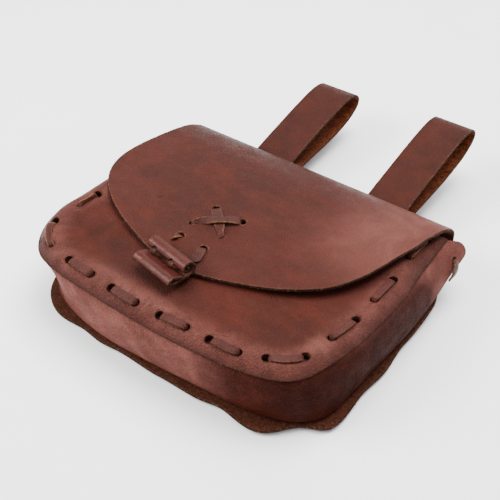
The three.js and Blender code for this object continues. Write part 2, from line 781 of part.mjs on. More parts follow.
function loopPoint(loop, t, side) {
  const p = along(LOOP_LINE, t);
  const past = Math.max(0, p.y - 185);
  const x = loop.x + side * LOOP_WIDTH + loop.lean * past;
  return new THREE.Vector3(x, p.y, p.z + (loop.lift - 1) * past);
}

function loopTieFrame(loop, side) {
  const point = backAt(loop.x + side * LOOP_TIE_HALF, LOOP_TIE_Y, -HIDE / 2);
  const inner = backAt(loop.x + side * LOOP_TIE_HALF, LOOP_TIE_Y, HIDE / 2);
  const normal = point.clone().sub(inner).normalize();
  return { point, normal, way: new THREE.Vector3(1, 0, 0) };
}

function loopTiePunches(loop) {
  return [-1, 1].map((side) => {
    const { point, normal } = loopTieFrame(loop, side);
    return punch(point, normal, HOLE_RADIUS);
  });
}

function beltLoop(loop) {
  const steps = (LOOP_LINE.length - 1) * 2;
  const at = (t, v) => loopPoint(loop, t, v - 0.5);
  return cut(sheet(steps, 1, at, even(STRAP), even(STRAP)), loopTiePunches(loop));
}

// A short thong that holds both legs of a loop to the back
function loopTie(loop) {
  const inside = HIDE + THONG / 2 + LACE_HANG;
  const outside = 2 * STRAP + 3 * GAP + THONG / 2 + 1.1;
  const bend = 2.6;
  const knots = [
    ...passage(loopTieFrame(loop, -1), inside, outside, true, -2 * bend, bend),
    ...passage(loopTieFrame(loop, 1), inside, outside, false, 2 * bend, -bend),
  ];
  return thong(knots);
}

// ---- Assembly ----

const pouch = new THREE.Group();
addMesh(pouch, "back_flap", hide(), COLOUR.grain);
addMesh(pouch, "front_panel", frontPanel(), COLOUR.grain);
addMesh(pouch, "gusset", gusset(), COLOUR.grain);
addMesh(pouch, "front_lace", lace(frontLine, FRONT_STITCHES, 2 * HIDE + SEAM_GAP), COLOUR.thong);
addMesh(pouch, "rear_lace", lace(rearLine, REAR_STITCHES, 2 * HIDE + GAP), COLOUR.thong);
for (const loop of LOOPS) {
  addMesh(pouch, loop.name, beltLoop(loop), COLOUR.dark);
  addMesh(pouch, loop.tie, loopTie(loop), COLOUR.thong);
}
addMesh(pouch, "cross_strip_under", flapStitch(CROSS.under.from, CROSS.under.to, 0, 4.8), COLOUR.thong);
addMesh(pouch, "cross_strip_over", flapStitch(CROSS.over.from, CROSS.over.to, 2.2, 5.2), COLOUR.thong);
addMesh(pouch, "toggle", toggle(), COLOUR.dark);
addMesh(pouch, "toggle_thong", flapTail(TIE_HOLES.to, TIE_TO_TOGGLE), COLOUR.thong);
addMesh(pouch, "toggle_thong_end", flapTail(TIE_HOLES.from, TIE_END), COLOUR.thong);

// The origin is under the middle of the whole pouch, on the surface that it lies on
const box = new THREE.Box3().setFromObject(pouch);
pouch.position.set(-(box.min.x + box.max.x) / 2, -(box.min.y + box.max.y) / 2, -box.min.z);

export default pouch;
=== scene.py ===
# Leather waist bag, lying on its back: the look of every piece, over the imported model.
# Shapes are worked out in millimetres in the bag's own frame (+X across it, +Y towards its top,
# +Z out of its front) and moved into the model's frame, in metres, when a mesh is made.
import math

import bmesh
import bpy
import numpy as np
from mathutils import Matrix, Vector


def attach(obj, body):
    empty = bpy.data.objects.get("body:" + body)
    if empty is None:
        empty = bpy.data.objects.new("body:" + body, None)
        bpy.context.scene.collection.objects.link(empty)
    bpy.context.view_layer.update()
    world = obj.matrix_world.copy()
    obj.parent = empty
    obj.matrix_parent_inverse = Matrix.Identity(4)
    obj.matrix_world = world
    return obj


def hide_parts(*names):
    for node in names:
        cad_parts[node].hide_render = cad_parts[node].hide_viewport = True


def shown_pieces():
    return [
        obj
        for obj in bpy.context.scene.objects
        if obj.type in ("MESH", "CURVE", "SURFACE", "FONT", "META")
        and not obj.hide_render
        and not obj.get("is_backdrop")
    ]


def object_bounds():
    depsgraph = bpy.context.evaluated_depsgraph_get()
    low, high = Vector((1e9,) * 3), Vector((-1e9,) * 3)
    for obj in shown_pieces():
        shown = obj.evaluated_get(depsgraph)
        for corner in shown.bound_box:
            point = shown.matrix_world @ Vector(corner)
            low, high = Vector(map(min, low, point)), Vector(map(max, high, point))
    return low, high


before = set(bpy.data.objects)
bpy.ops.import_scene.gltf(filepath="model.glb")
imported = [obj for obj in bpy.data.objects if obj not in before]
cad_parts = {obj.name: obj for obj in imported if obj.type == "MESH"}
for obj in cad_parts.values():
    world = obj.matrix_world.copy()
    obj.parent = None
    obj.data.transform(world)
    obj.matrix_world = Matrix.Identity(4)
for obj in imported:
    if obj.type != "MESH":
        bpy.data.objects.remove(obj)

cad_lo, cad_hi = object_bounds()
OFFSET = np.array([-1.6916, -149.7435, 2.3998])  # the bag's own origin in the model's frame

# ---- Sizes ----
HIDE = 2.4  # thickness of the body leather
PARED = 0.7  # and of the front panel at its cut edge
PARE_WIDTH = 5.0
STRAP = 2.2  # thickness of the belt loops
ROLL = 1.9  # of the toggle's strip
THONG = 1.4  # of the lacing
THONG_WIDTH = 5.4
HOLE = 3.1  # radius
PUNCH_SEAM, PUNCH_LOOP, PUNCH_FLAP = 9.0, 8.0, 6.0  # how far a punch reaches either way
SEAM_GAP = 0.15
DOME = (8.5, -12.0, 92.0, 112.0, 98.0)  # height, middle x and y, half width, half length
FLAP_DOME = (3.5, -12.0, 95.0, 112.0, 88.0)
MOUTH_Y = 178.0  # free top edge of the front panel
RIM_RISE, RIM_END, RIM_FADE, RIM_REST = 5.0, 19.0, 4.0, 0.25  # the panel's rim across its width
CORE_X, CORE_Y = 58.0, (60.0, 132.0)  # a box in the bag that all ways inward lead to
HEM = (0.215, 0.815)  # places on the seam between which the back's bottom edge runs
REAR_INSET = 11.5  # distance of the rear lacing from the seam

SEAM = np.array([  # foot x, y; front edge x, y, z; bow; rim
    (-117, 179, -114, 178, 40.5, 5, 4), (-117, 150, -115.5, 146, 42, 3.5, 5),
    (-115, 112, -115.5, 108, 43, 2, 5.6),
    (-114, 78, -115.5, 72, 43.5, -3, 8.8), (-112.5, 50, -117.5, 43, 44, -6, 8.5),
    (-106, 27, -111, 21.5, 43.5, -6.5, 6.5), (-93, 13, -97.2, 6.2, 43.5, -5.5, 6),
    (-70, 5.2, -76, 0, 43.5, 0.5, 5.5),
    (-38, 0.6, -42, -2.9, 43.5, 3, 5.5), (0, 0.9, -4, -4.6, 43.5, 3, 5.5), (38, 3, 34, -4.2, 43.5, 3, 5.5),
    (70, 5, 68, -0.6, 43.5, 3, 5), (92, 10, 92, 6, 43.2, 2.5, 5), (108, 20.5, 105, 17, 43, 2.5, 5),
    (115.5, 33.5, 112, 36, 43, 2.5, 5), (117.4, 62, 117.3, 64, 42.8, 3, 5),
    (119.5, 105, 119, 104, 42.5, 3, 5),
    (121, 145, 116, 138, 42, 4, 5), (119, 179, 113, 178, 40.5, 6, 4)], float)
BACK_LINE = np.array([  # y, z
    (-60, 1.2), (60, 1.2), (91, 1.2), (106, 1.3), (126, 2.7), (145, 6.2), (160, 10), (171, 14.8), (179, 20),
    (184.5, 26)], float)
FOLD = np.array([  # y, z, left, right
    (145, 6.2, -119, 123), (160, 10, -117, 118), (171, 14.8, -113, 116), (179, 20, -108, 114),
    (184.5, 26, -105, 113), (187.6, 32.5, -104, 112.5), (187.4, 38.5, -103.5, 112.5),
    (183, 44.2, -103, 112.5)], float)
FLAP_RISE = np.array([  # y, z
    (20, 50.2), (30, 50.5), (60, 51.5), (100, 52.3), (140, 52.8), (163, 51.2), (175, 48.3),
    (183, 44.2)], float)
FLAP_EDGE = np.array([
    (-109, 148), (-114, 130), (-116.5, 112), (-113, 96), (-103, 81), (-88, 68.5), (-70, 58), (-50, 49.5),
    (-30, 43), (-8, 40.5), (12, 43), (33, 49.5), (53, 58), (70, 69), (82, 80.5), (90.5, 95),
    (96.5, 111), (101, 128), (106, 146)], float)
MARGIN = np.array([  # share of the seam's length, width past the gusset
    (0, 1.3), (0.05, 1.5), (0.085, 4.4), (0.12, 2.2), (0.16, 5), (0.2, 2.4), (0.24, 5.2), (0.275, 3.4),
    (0.345, 7.2), (0.39, 2.8), (0.415, 3.2), (0.448, 1.7), (0.51, 4.1), (0.568, 6.1), (0.597, 4.5),
    (0.643, 10.3), (0.69, 1.6), (0.724, 7.3), (0.782, 4.2), (0.818, 5.2), (0.873, 1.8), (1, 1.3)], float)
LACE_PATH = np.array([  # place on the seam, distance of the front lacing from the cut edge
    (0, 11.5), (0.12, 12.5), (0.165, 14.8), (0.215, 14.8), (0.262, 8.2), (0.335, 8.6), (0.392, 10),
    (0.431, 9.4), (0.46, 8.8), (0.49, 8.3), (0.518, 9), (0.546, 10), (0.573, 9.5), (0.607, 9),
    (0.651, 12), (0.738, 12), (0.805, 13), (0.846, 12.4), (0.875, 13.4), (0.909, 12.4),
    (0.9535, 12.3), (0.9875, 12.5), (1, 12.6)], float)
FRONT_STITCHES = [  # from u, to u, offset of each leg in its hole, turn in degrees, raw edge, hole radii
    (0.020, 0.050, 1.2, 0.8, 0, 0.3, 3.1, 3.1), (0.084, 0.114, 1.0, 0.6, -20, 0.3, 3.1, 3.1),
    (0.1735, 0.2107, 1.6, 0.5, -72, 1.0, 2.9, 1.3), (0.2617, 0.3348, 2.2, 0.4, -32, 1.0, 3.2, 2.2),
    (0.392, 0.431, 2.0, 0.6, 0, 0.25, 3.2, 2.9), (0.4596, 0.490, 1.9, 0.4, 0, 0.25, 3.2, 2.9),
    (0.518, 0.546, 1.8, 0.4, 0, 0.2, 3.1, 2.9), (0.573, 0.607, 1.9, 0.2, 0, 0.2, 3.1, 2.8),
    (0.651, 0.738, 1.6, 1.8, 0, 0.45, 3.2, 3.2), (0.805, 0.846, 0.7, 1.9, 0, 0.25, 3.0, 3.1),
    (0.875, 0.909, 0.3, 1.9, 0, 0.2, 3.0, 3.1), (0.9535, 0.9875, 0.4, 1.4, 18, 0.9, 3.0, 3.1)]
PUCKERS = [k[:2] for k in FRONT_STITCHES[2:]]
PUCKER_DEPTH = 0.9
EAR_HOLE = (2.3, 1.8)  # radius and depth
EAR_FLARE = np.array([2.4, -2.6, -1.4])  # how far the gusset's right free end is bent out
EAR_LACE = ((0.979, 7.9), (0.977, 7.2), (0.975, 6.4), (0.972, 5.5))  # down the gusset by its right free end
REAR = (8, 0.07, 0.93, 0.5)  # stitches, share of the seam at the first and the last, part of a step outside
BLEMISH = (-60.4, 87.0)  # a small dark pit in the flap
FLAP_HOLES = (2.8, 2.1, 2.1, 2.8, 2.9, 2.9)  # radii, in the order of the holes below
CROSS_UNDER = ((-20.4, 97.9), (-0.1, 77.3))
CROSS_OVER = ((-24.6, 77.4), (2.2, 97.0))
TIE_HOLES = ((-23.4, 63.7), (-3.0, 62.1))
LOOP_LINE = np.array([
    (146, 3.6), (158, 6.3), (170, 11.1), (187, 17), (210, 24), (240, 30.5), (265, 35.5), (285, 38),
    (297, 36.5), (303, 32), (303, 26.5), (297, 21.5), (285, 17), (262, 13.5), (230, 11.8), (200, 10.5),
    (180, 9.6), (168, 7.7), (157, 3.3), (146, 0.9)], float)
LOOP_WIDTH = 32.5
LOOPS = [  # name, x, lean, lift
    ("left", -50.0, 0.0, 1.0), ("right", 50.0, 0.03, 1.06)]
LOOP_TIE_Y, LOOP_TIE_HALF = 157.0, 9.0
TOGGLE_LINE = np.array([
    (0.2, 1.2), (1.5, 0.1), (0.5, -1.4), (-1.5, -1.1), (-2.5, 0.9), (-1.2, 3.2), (1.8, 4), (4.8, 2.3),
    (6.1, -1), (5.2, -4.1), (1.5, -5.6), (-4, -5.9), (-9, -5.9), (-13, -5.4), (-14.8, -3.5),
    (-13.2, -1.5), (-10.8, -1.2), (-7.8, -2.5), (-4.4, -3.8)], float)
TOGGLE_BITS = ((-10.4, 0.1), (6.2, 1.0))  # along the roll, raw edge
TOGGLE_AT, TOGGLE_LENGTH, TOGGLE_TURN, TOGGLE_CLEARANCE = (-11.9, 39.3), 35.5, -11.6, 7.2


# ---- Curves and surfaces ----
def spline(table, t):
    """Smooth curve through evenly spaced rows, t from 0 to 1."""
    last = len(table) - 1
    place = np.clip(np.asarray(t, float), 0, 1) * last
    i = np.minimum(place.astype(int), last - 1)
    f = (place - i)[..., None]
    a, b, c, d = (table[np.clip(i + k, 0, last)] for k in (-1, 0, 1, 2))
    return 0.5 * (2 * b + (c - a) * f + (2 * a - 5 * b + 4 * c - d) * f**2 + (3 * b - a - 3 * c + d) * f**3)


def hermite(xs, ys, x):
    """Smooth curve through the points xs, ys, whose xs rise."""
    slope = np.gradient(ys, xs)
    i = np.clip(np.searchsorted(xs, x, side="right") - 1, 0, len(xs) - 2)
    h = xs[i + 1] - xs[i]
    f = np.clip((x - xs[i]) / h, 0, 1)
    return ((1 + 2 * f) * (1 - f) ** 2 * ys[i] + f * (1 - f) ** 2 * h * slope[i]
            + f * f * (3 - 2 * f) * ys[i + 1] + f * f * (f - 1) * h * slope[i + 1])


def graph(table, x):
    """Smooth curve through a table's rows of place and value."""
    return hermite(table[:, 0], table[:, 1], x)


def eased(table, x):
    """Value at x between the rows of a table, level at each row."""
    xs, ys = table[:, 0], table[:, 1]
    i = np.clip(np.searchsorted(xs, x) - 1, 0, len(xs) - 2)
    f = np.clip((x - xs[i]) / (xs[i + 1] - xs[i]), 0, 1)
    return ys[i] + (ys[i + 1] - ys[i]) * f * f * (3 - 2 * f)


def bell(x, middle, width):
    return np.exp(-(((x - middle) / width) ** 2))


def travelled(points):
    """Distance along a line of points, from its start to each of them."""
    return np.concatenate([[0], np.cumsum(np.linalg.norm(np.diff(points, axis=0), axis=1))])


def smooth(x, lo, hi):
    """0 below lo, 1 above hi, with an eased rise between them."""
    f = np.clip((x - lo) / (hi - lo), 0, 1)
    return f * f * (3 - 2 * f)


def unit(v):
    return v / np.maximum(np.linalg.norm(v, axis=-1, keepdims=True), 1e-9)


def hump(x, y, dome):
    """Height of a dome at x, y."""
    height, cx, cy, rx, ry = dome
    return height * np.clip(1 - ((x - cx) / rx) ** 2, 0, None) * np.clip(1 - ((y - cy) / ry) ** 2, 0, None)


def inward(x, y):
    """Way from a spot of the seam to the core of the bag."""
    return unit(np.stack([np.clip(x, -CORE_X, CORE_X) - x, np.clip(y, *CORE_Y) - y], -1))


_u = np.linspace(0, 1, 2001)
_foot = spline(SEAM, _u)[:, :2]
_run = travelled(_foot)
SEAM_LENGTH = _run[-1]


def share_of(u):
    return np.interp(u, _u, _run / SEAM_LENGTH)


def u_at(share):
    return np.interp(share, _run / SEAM_LENGTH, _u)


def panel_height(u, d, s):
    """Rise of the front panel over its cut edge: rim, valley and dimples at the lacing holes."""
    rise = 1 - np.exp(-((np.maximum(d, 0) / RIM_RISE) ** 1.5))
    fall = 1 / (1 + np.exp((d - RIM_END) / RIM_FADE))
    pull = sum(bell(u, (a + b) / 2, 0.42 * (b - a) + 0.008) for a, b in PUCKERS)
    across = bell(d, 10.5, 6.5)
    rim = s[..., 6] * rise * (RIM_REST + (1 - RIM_REST) * fall)
    return rim + (0.55 - 1.25 * pull) * across * PUCKER_DEPTH


def front_face(u, d):
    u, d = np.broadcast_arrays(np.asarray(u, float), np.asarray(d, float))
    s = spline(SEAM, u)
    way = inward(s[..., 2], s[..., 3])
    x = s[..., 2] + way[..., 0] * d
    y = s[..., 3] + way[..., 1] * d
    z = s[..., 4] + panel_height(u, d, s) + hump(x, y, DOME) - hump(s[..., 2], s[..., 3], DOME)
    return np.stack([x, y, z], -1)


def front_normal(u, d):
    u = np.clip(u, 0.003, 0.997)
    du = front_face(u + 0.002, d) - front_face(u - 0.002, d)
    dd = front_face(u, d + 0.5) - front_face(u, d - 0.5)
    n = unit(np.cross(du, dd))
    return np.where(n[..., 2:] < 0, -n, n)


def back_at(x, y, height):
    """Point off the middle of the back hide, positive height towards the inside of the pouch."""
    z = graph(BACK_LINE, y)
    slope = (graph(BACK_LINE, y + 1) - graph(BACK_LINE, y - 1)) / 2
    length = np.hypot(1, slope)
    return np.stack(np.broadcast_arrays(x, y - height * slope / length, z + height / length), -1)


def tie_holes(x):
    """The two holes in the back that tie the loop at x: a spot on its outside and the way out of it."""
    holes = []
    for side in (-1, 1):
        outer, inner = (back_at(x + side * LOOP_TIE_HALF, LOOP_TIE_Y, h) for h in (-HIDE / 2, HIDE / 2))
        holes.append((outer, unit(outer - inner)))
    return holes


def tie_punches(x):
    return [(p, n, HOLE, PUNCH_LOOP) for p, n in tie_holes(x)]


def flap_middle(x, y):
    droop = 0.8 * (np.clip(-x - 85, 0, None) / 35) ** 2
    z = graph(FLAP_RISE, y) + hump(x, y, FLAP_DOME) - droop
    return np.stack(np.broadcast_arrays(x, y, z), -1)


def flap_frame(x, y, height=0.0):
    dx = flap_middle(x + 1, y) - flap_middle(x - 1, y)
    dy = flap_middle(x, y + 1) - flap_middle(x, y - 1)
    n = unit(np.cross(dx, dy))
    return flap_middle(x, y) + n * (HIDE / 2 + height), n


# ---- Meshes ----
def grid_normals(points, wrap=False):
    if wrap:
        du = np.roll(points, -1, 0) - np.roll(points, 1, 0)
    else:
        du = np.gradient(points, axis=0)
    dv = np.gradient(points, axis=1)
    return unit(np.cross(du, dv))


HOLE_SIDES = 28
SHARP_ANGLE = 38.0  # degrees between faces from which an edge is shown sharp
# tone carries painted sheen and painted shade, with a few real dark marks; the value along a seam is
# painted shade in its crevice
KEYS = ("edge", "flesh", "tone", "crease", "crinkle", "raw", "s", "t")


class Build:
    """Vertices, faces and named values of one closed leather piece."""

    def __init__(self):
        self.points, self.faces, self.values, self.count = [], [], {}, 0

    def add(self, points, **values):
        """Takes in points with their values, and gives their numbers."""
        points = points.reshape(-1, 3)
        start = self.count
        self.points.append(points)
        self.count += len(points)
        for key in KEYS:
            given = np.asarray(values.get(key, 0.0), float).reshape(-1)
            self.values.setdefault(key, []).append(np.broadcast_to(given, (len(points),)))
        return np.arange(start, self.count)

    def quads(self, index):
        """Faces over a grid of vertex numbers."""
        a, b, c, d = index[:-1, :-1], index[1:, :-1], index[1:, 1:], index[:-1, 1:]
        self.faces.append(np.stack([a, b, c, d], -1).reshape(-1, 4))


def border(nu, nv, wrap):
    """Rows and columns of the points on a grid's free border, in order round it."""
    if wrap:
        return np.array([(i, 0) for i in range(nu)]).T
    there = [(i, 0) for i in range(nu)] + [(nu - 1, j) for j in range(1, nv)]
    back = [(i, nv - 1) for i in range(nu - 2, -1, -1)] + [(0, j) for j in range(nv - 2, 0, -1)]
    return np.array(there + back).T


def shell(points, above, below, wrap=False, radius=0.4, grain_below=False, **values):
    """A closed leather piece round a surface. Values are arrays on the grid; the cut edge is rounded."""
    nu, nv = points.shape[:2]
    normal = grid_normals(points, wrap)
    above = np.broadcast_to(above, (nu, nv))
    below = np.broadcast_to(below, (nu, nv))
    given = {k: np.broadcast_to(np.asarray(v, float), (nu, nv)) for k, v in values.items()}
    build = Build()
    if wrap:
        normal[:, -1] = unit(normal[:, -2].mean(0))
    li, lj = border(nu, nv, wrap)
    edge = points[li, lj]
    along = unit(np.roll(edge, -1, 0) - np.roll(edge, 1, 0))
    n = normal[li, lj]
    out = unit(np.cross(along, n))
    ii = np.clip(li, 1, nu - 2) if not wrap else li
    jj = np.clip(lj, 1, nv - 2)
    if (out * (edge - points[ii, jj])).sum() < 0:
        out = -out
    top = points + normal * above[..., None]
    low = points - normal * below[..., None]
    ha, hb = above[li, lj][:, None], below[li, lj][:, None]
    r = np.minimum(radius, 0.45 * (ha + hb))
    top[li, lj] = edge - out * r + n * ha
    low[li, lj] = edge - out * r - n * hb
    side = {k: v[li, lj] for k, v in given.items()}
    edged = np.zeros((nu, nv))
    edged[li, lj] = 0.3
    flesh_top, flesh_low = (1.0, 0.0) if grain_below else (0.0, 1.0)
    index_top = build.add(top, **{**given, "edge": edged, "flesh": flesh_top}).reshape(nu, nv)
    index_low = build.add(low, **{**given, "edge": edged, "flesh": flesh_low}).reshape(nu, nv)
    rings = [index_top[li, lj]]
    for height, way, flesh, degrees in ((ha, n, flesh_top, (60, 30, 0)), (hb, -n, flesh_low, (0, 30, 60))):
        for a in (math.radians(k) for k in degrees):
            ring = edge - out * r * (1 - math.cos(a)) + way * (height - r + r * math.sin(a))
            rings.append(build.add(ring, **{**side, "edge": 1.0, "flesh": flesh}))
    rings.append(index_low[li, lj])
    if wrap:
        index_top = np.concatenate([index_top, index_top[:1]])
        index_low = np.concatenate([index_low, index_low[:1]])
    build.quads(index_top)
    build.quads(index_low[::-1])
    rings = np.stack([np.append(q, q[0]) for q in rings], 1)
    build.quads(rings)
    return build


def welded(build):
    """A built piece's points, faces and values, with points that coincide made one."""
    points = np.concatenate(build.points)
    rounded = np.round(points, 4)
    _, first, inverse = np.unique(rounded, axis=0, return_index=True, return_inverse=True)
    faces = []
    for face in inverse.reshape(-1)[np.concatenate(build.faces)].tolist():
        kept = [v for k, v in enumerate(face) if v != face[k - 1]]
        if len(kept) > 2 and len(set(kept)) == len(kept):
            faces.append(kept)
    return points[first], faces, {k: np.concatenate(v)[first] for k, v in build.values.items()}


def in_metres(points):
    return ((np.asarray(points) + OFFSET) / 1000).tolist()


def added(name, data):
    """A new object of the scene."""
    item = bpy.data.objects.new(name, data)
    bpy.context.scene.collection.objects.link(item)
    return item


def make(name, build, material, nodes, punches=()):
    """The mesh object of a built piece, with its holes cut, tied to the bag's root in place of the CAD
    nodes it stands for, which it hides.
    """
    points, faces, values = welded(build)
    mesh = bpy.data.meshes.new(name)
    mesh.from_pydata(in_metres(points), [], faces)
    turned_out = bmesh.new()
    turned_out.from_mesh(mesh)
    bmesh.ops.recalc_face_normals(turned_out, faces=turned_out.faces)
    if turned_out.calc_volume(signed=True) < 0:
        bmesh.ops.reverse_faces(turned_out, faces=turned_out.faces)
    turned_out.to_mesh(mesh)
    turned_out.free()
    for key in KEYS:
        layer = mesh.attributes.new(key, "FLOAT", "POINT")
        layer.data.foreach_set("value", values[key].astype(np.float32))
    mesh.update()
    piece = added(name, mesh)
    if punches:
        cut(piece, punches)
    piece.data.shade_smooth()
    piece.data.set_sharp_from_angle(angle=math.radians(SHARP_ANGLE))
    piece.data.materials.clear()
    piece.data.materials.append(material)
    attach(piece, "root")
    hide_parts(*nodes)


def punch_tool(punches):
    """One object of all the cylinders to cut away."""
    points, faces = [], []
    ring = np.linspace(0, 2 * math.pi, HOLE_SIDES, endpoint=False)
    for point, direction, radius, depth in punches:
        direction = unit(direction)
        side = unit(np.cross(direction, [0.3, 0.9, 0.1]))  # any way across it
        other = np.cross(direction, side)
        low = [len(points) + k for k in range(HOLE_SIDES)]
        top = [k + HOLE_SIDES for k in low]
        for h in (-depth, depth):
            for a in ring:
                points.append(point + direction * h + radius * (side * math.cos(a) + other * math.sin(a)))
        for k in range(HOLE_SIDES):
            m = (k + 1) % HOLE_SIDES
            faces.append((low[k], low[m], top[m], top[k]))
        faces += [low[::-1], top]
    mesh = bpy.data.meshes.new("punches")
    mesh.from_pydata(in_metres(points), [], faces)
    mesh.update()
    return added("punches", mesh)


def mark_rims(mesh, punches):
    """Sets the edge value on the points of the cut holes: the dark cut-edge colour there is partly painted
    shade inside the holes.
    """
    co = np.zeros(len(mesh.vertices) * 3, np.float32)
    mesh.vertices.foreach_get("co", co)
    co = co.reshape(-1, 3).astype(float) * 1000 - OFFSET
    on_rim = np.zeros(len(co), bool)
    for point, direction, radius, depth in punches:
        direction = unit(direction)
        rel = co - point
        height = rel @ direction
        reach = np.linalg.norm(rel - height[:, None] * direction, axis=1)
        on_rim |= (np.abs(height) < depth) & (reach > radius * 0.985) & (reach < radius + 0.02)
    edge = np.zeros(len(co), np.float32)
    mesh.attributes["edge"].data.foreach_get("value", edge)
    edge[on_rim] = 0.5
    mesh.attributes["edge"].data.foreach_set("value", edge)


def cut(piece, punches):
    """Round holes through a piece: each punch is a point, a direction, a radius and a depth."""
    tool = punch_tool(punches)
    modifier = piece.modifiers.new("punch", "BOOLEAN")
    modifier.operation, modifier.object, modifier.solver = "DIFFERENCE", tool, "MANIFOLD"
    bpy.context.view_layer.update()
    cut_mesh = bpy.data.meshes.new_from_object(piece.evaluated_get(bpy.context.evaluated_depsgraph_get()))
    piece.modifiers.clear()
    piece.data = cut_mesh
    bpy.data.objects.remove(tool)
    mark_rims(cut_mesh, punches)


# ---- Materials ----
def srgb(*levels):
    """The colour of three levels from 0 to 255, as a shader takes it."""
    shares = [v / 255 for v in levels]
    return (*(((c + 0.055) / 1.055) ** 2.4 if c > 0.0393 else c / 12.92 for c in shares), 1.0)


class Nodes:
    """Short way to write a material's nodes."""

    def __init__(self, name):
        self.material = bpy.data.materials.new(name)
        self.material.use_nodes = True
        self.tree = self.material.node_tree
        self.tree.nodes.clear()

    def put(self, kind, out=0, inputs=None, **settings):
        node = self.tree.nodes.new(kind)
        for key, value in settings.items():
            setattr(node, key, value)
        for key, value in (inputs or {}).items():
            self.feed(node.inputs[key], value)
        return node.outputs[out]

    def feed(self, socket, value):
        if isinstance(value, bpy.types.NodeSocket):
            self.tree.links.new(value, socket)
        else:
            socket.default_value = value

    def math(self, operation, a, b=0.0, clamp=False):
        return self.put("ShaderNodeMath", operation=operation, use_clamp=clamp, inputs={0: a, 1: b})

    def times(self, a, b, clamp=False):
        return self.math("MULTIPLY", a, b, clamp)

    def plus(self, a, b, clamp=False):
        return self.math("ADD", a, b, clamp)

    def value(self, name):
        return self.put("ShaderNodeAttribute", 2, attribute_name=name)

    def noise(self, at, scale, detail=3.0, rough=0.5, warp=0.0):
        return self.put("ShaderNodeTexNoise", 0, inputs={
            "Vector": at, "Scale": scale, "Detail": detail, "Roughness": rough, "Distortion": warp})

    def cells(self, at, scale):
        """Distance to the nearest edge of a net of cells."""
        return self.put("ShaderNodeTexVoronoi", 0, feature="DISTANCE_TO_EDGE", inputs={
            "Vector": at, "Scale": scale})

    def ramp(self, value, low, high, a=0.0, b=1.0):
        return self.put("ShaderNodeMapRange", 0, interpolation_type="SMOOTHSTEP", inputs={
            "Value": value, "From Min": low, "From Max": high, "To Min": a, "To Max": b})

    def mix(self, factor, a, b):
        node = self.tree.nodes.new("ShaderNodeMix")
        node.data_type = "RGBA"
        for key, value in ((0, factor), (6, a), (7, b)):
            self.feed(node.inputs[key], value)
        return node.outputs[2]

    def surface(self, inputs):
        """The material, with a shader whose sockets take the inputs."""
        shader = self.put("ShaderNodeBsdfPrincipled", inputs=inputs)
        end = self.tree.nodes.new("ShaderNodeOutputMaterial")
        self.feed(end.inputs[0], shader)
        return self.material


def dyed(n, at, deep, middle, red, pale):
    """Mottled dye: the colour, and the two noises that the painted sheen follows."""
    cloud = n.noise(at, 16.0, 4.0, 0.55, 0.6)
    patch = n.noise(at, 42.0, 5.0, 0.6, 0.8)
    stretched = n.put("ShaderNodeMapping", 0, vector_type="POINT", inputs={
        "Vector": at, "Scale": (30.0, 85.0, 60.0), "Rotation": (0.0, 0.0, 0.35)})
    streaks = n.noise(stretched, 1.0, 5.0, 0.62, 0.5)
    speck = n.noise(at, 900.0, 3.0, 0.6)
    colour = n.mix(n.ramp(cloud, 0.36, 0.66), deep, middle)
    colour = n.mix(n.ramp(patch, 0.46, 0.74, 0.0, 0.6), colour, red)
    colour = n.mix(n.ramp(streaks, 0.45, 0.7, 0.0, 0.5), colour, deep)
    colour = n.mix(n.ramp(streaks, 0.52, 0.3, 0.0, 0.35), colour, red)
    return n.mix(n.ramp(speck, 0.5, 0.75, 0.0, 0.16), colour, pale), cloud, patch


def strained(n, run, crinkle):
    """A net of fine cracks where the leather is strained, the folds along the piece, and the strain."""
    wander = n.put("ShaderNodeVectorMath", 0, operation="ADD", inputs={0: run, 1: n.put(
        "ShaderNodeTexNoise", 1, inputs={"Vector": run, "Scale": 0.22, "Detail": 3.0, "Roughness": 0.6})})
    large, small = n.cells(wander, 0.42), n.cells(wander, 0.95)
    net = n.plus(n.ramp(large, 0.0, 0.11, 0.8, 0.0), n.ramp(small, 0.0, 0.16, 0.55, 0.0))
    fine = n.put("ShaderNodeMapping", 0, inputs={"Vector": run, "Scale": (1.0, 0.32, 1.0)})
    wrinkle_a = n.noise(fine, 0.85, 3.0, 0.6, 1.6)
    wrinkle_b = n.noise(run, 0.5, 2.0, 0.5, 2.2)
    folds = n.plus(n.math("ABSOLUTE", n.math("SUBTRACT", wrinkle_a, 0.5)),
                   n.math("ABSOLUTE", n.math("SUBTRACT", wrinkle_b, 0.5)))
    folds = n.ramp(folds, 0.0, 0.11)
    patches = n.ramp(n.noise(run, 0.07, 3.0, 0.6), 0.36, 0.62)
    strain = n.times(crinkle, n.plus(n.times(patches, 0.85), 0.15))
    return n.times(net, strain), folds, strain


def flesh_side(n, at, light):
    """Colour and fibres of the leather's rough side."""
    fibre = n.noise(at, 420.0, 6.0, 0.75, 1.2)
    nap = n.noise(at, 60.0, 3.0, 0.6, 0.5)
    suede = n.mix(n.ramp(fibre, 0.36, 0.66), srgb(46, 22, 14), light)
    return n.mix(n.ramp(nap, 0.4, 0.7, 0.0, 0.5), suede, srgb(66, 34, 23)), fibre


def cut_edge(n, colour, breaks, edge, raw, flecks):
    """The colour with dark burnished edges, where tan fibres break through, and where the edge shows."""
    dark = n.mix(n.ramp(breaks, 0.52, 0.66, 0.0, flecks), srgb(40, 23, 18), srgb(124, 84, 60))
    tan = n.mix(n.ramp(breaks, 0.38, 0.62), srgb(70, 38, 25), srgb(138, 92, 64))
    dark = n.mix(raw, dark, tan)
    shown = n.ramp(n.plus(edge, n.ramp(breaks, 0.3, 0.7, -0.12, 0.12)), 0.35, 0.6)
    colour = n.mix(shown, colour, dark)
    # a light line along the top of each cut edge: painted highlight where the bevel would catch light,
    # broken up like tan fibres
    lip = n.times(n.ramp(edge, 0.12, 0.34), n.ramp(edge, 0.6, 0.4))
    lip = n.times(lip, n.ramp(breaks, 0.42, 0.6, 0.1 * flecks, 0.5 * flecks))
    return n.mix(lip, colour, srgb(122, 82, 66)), shown


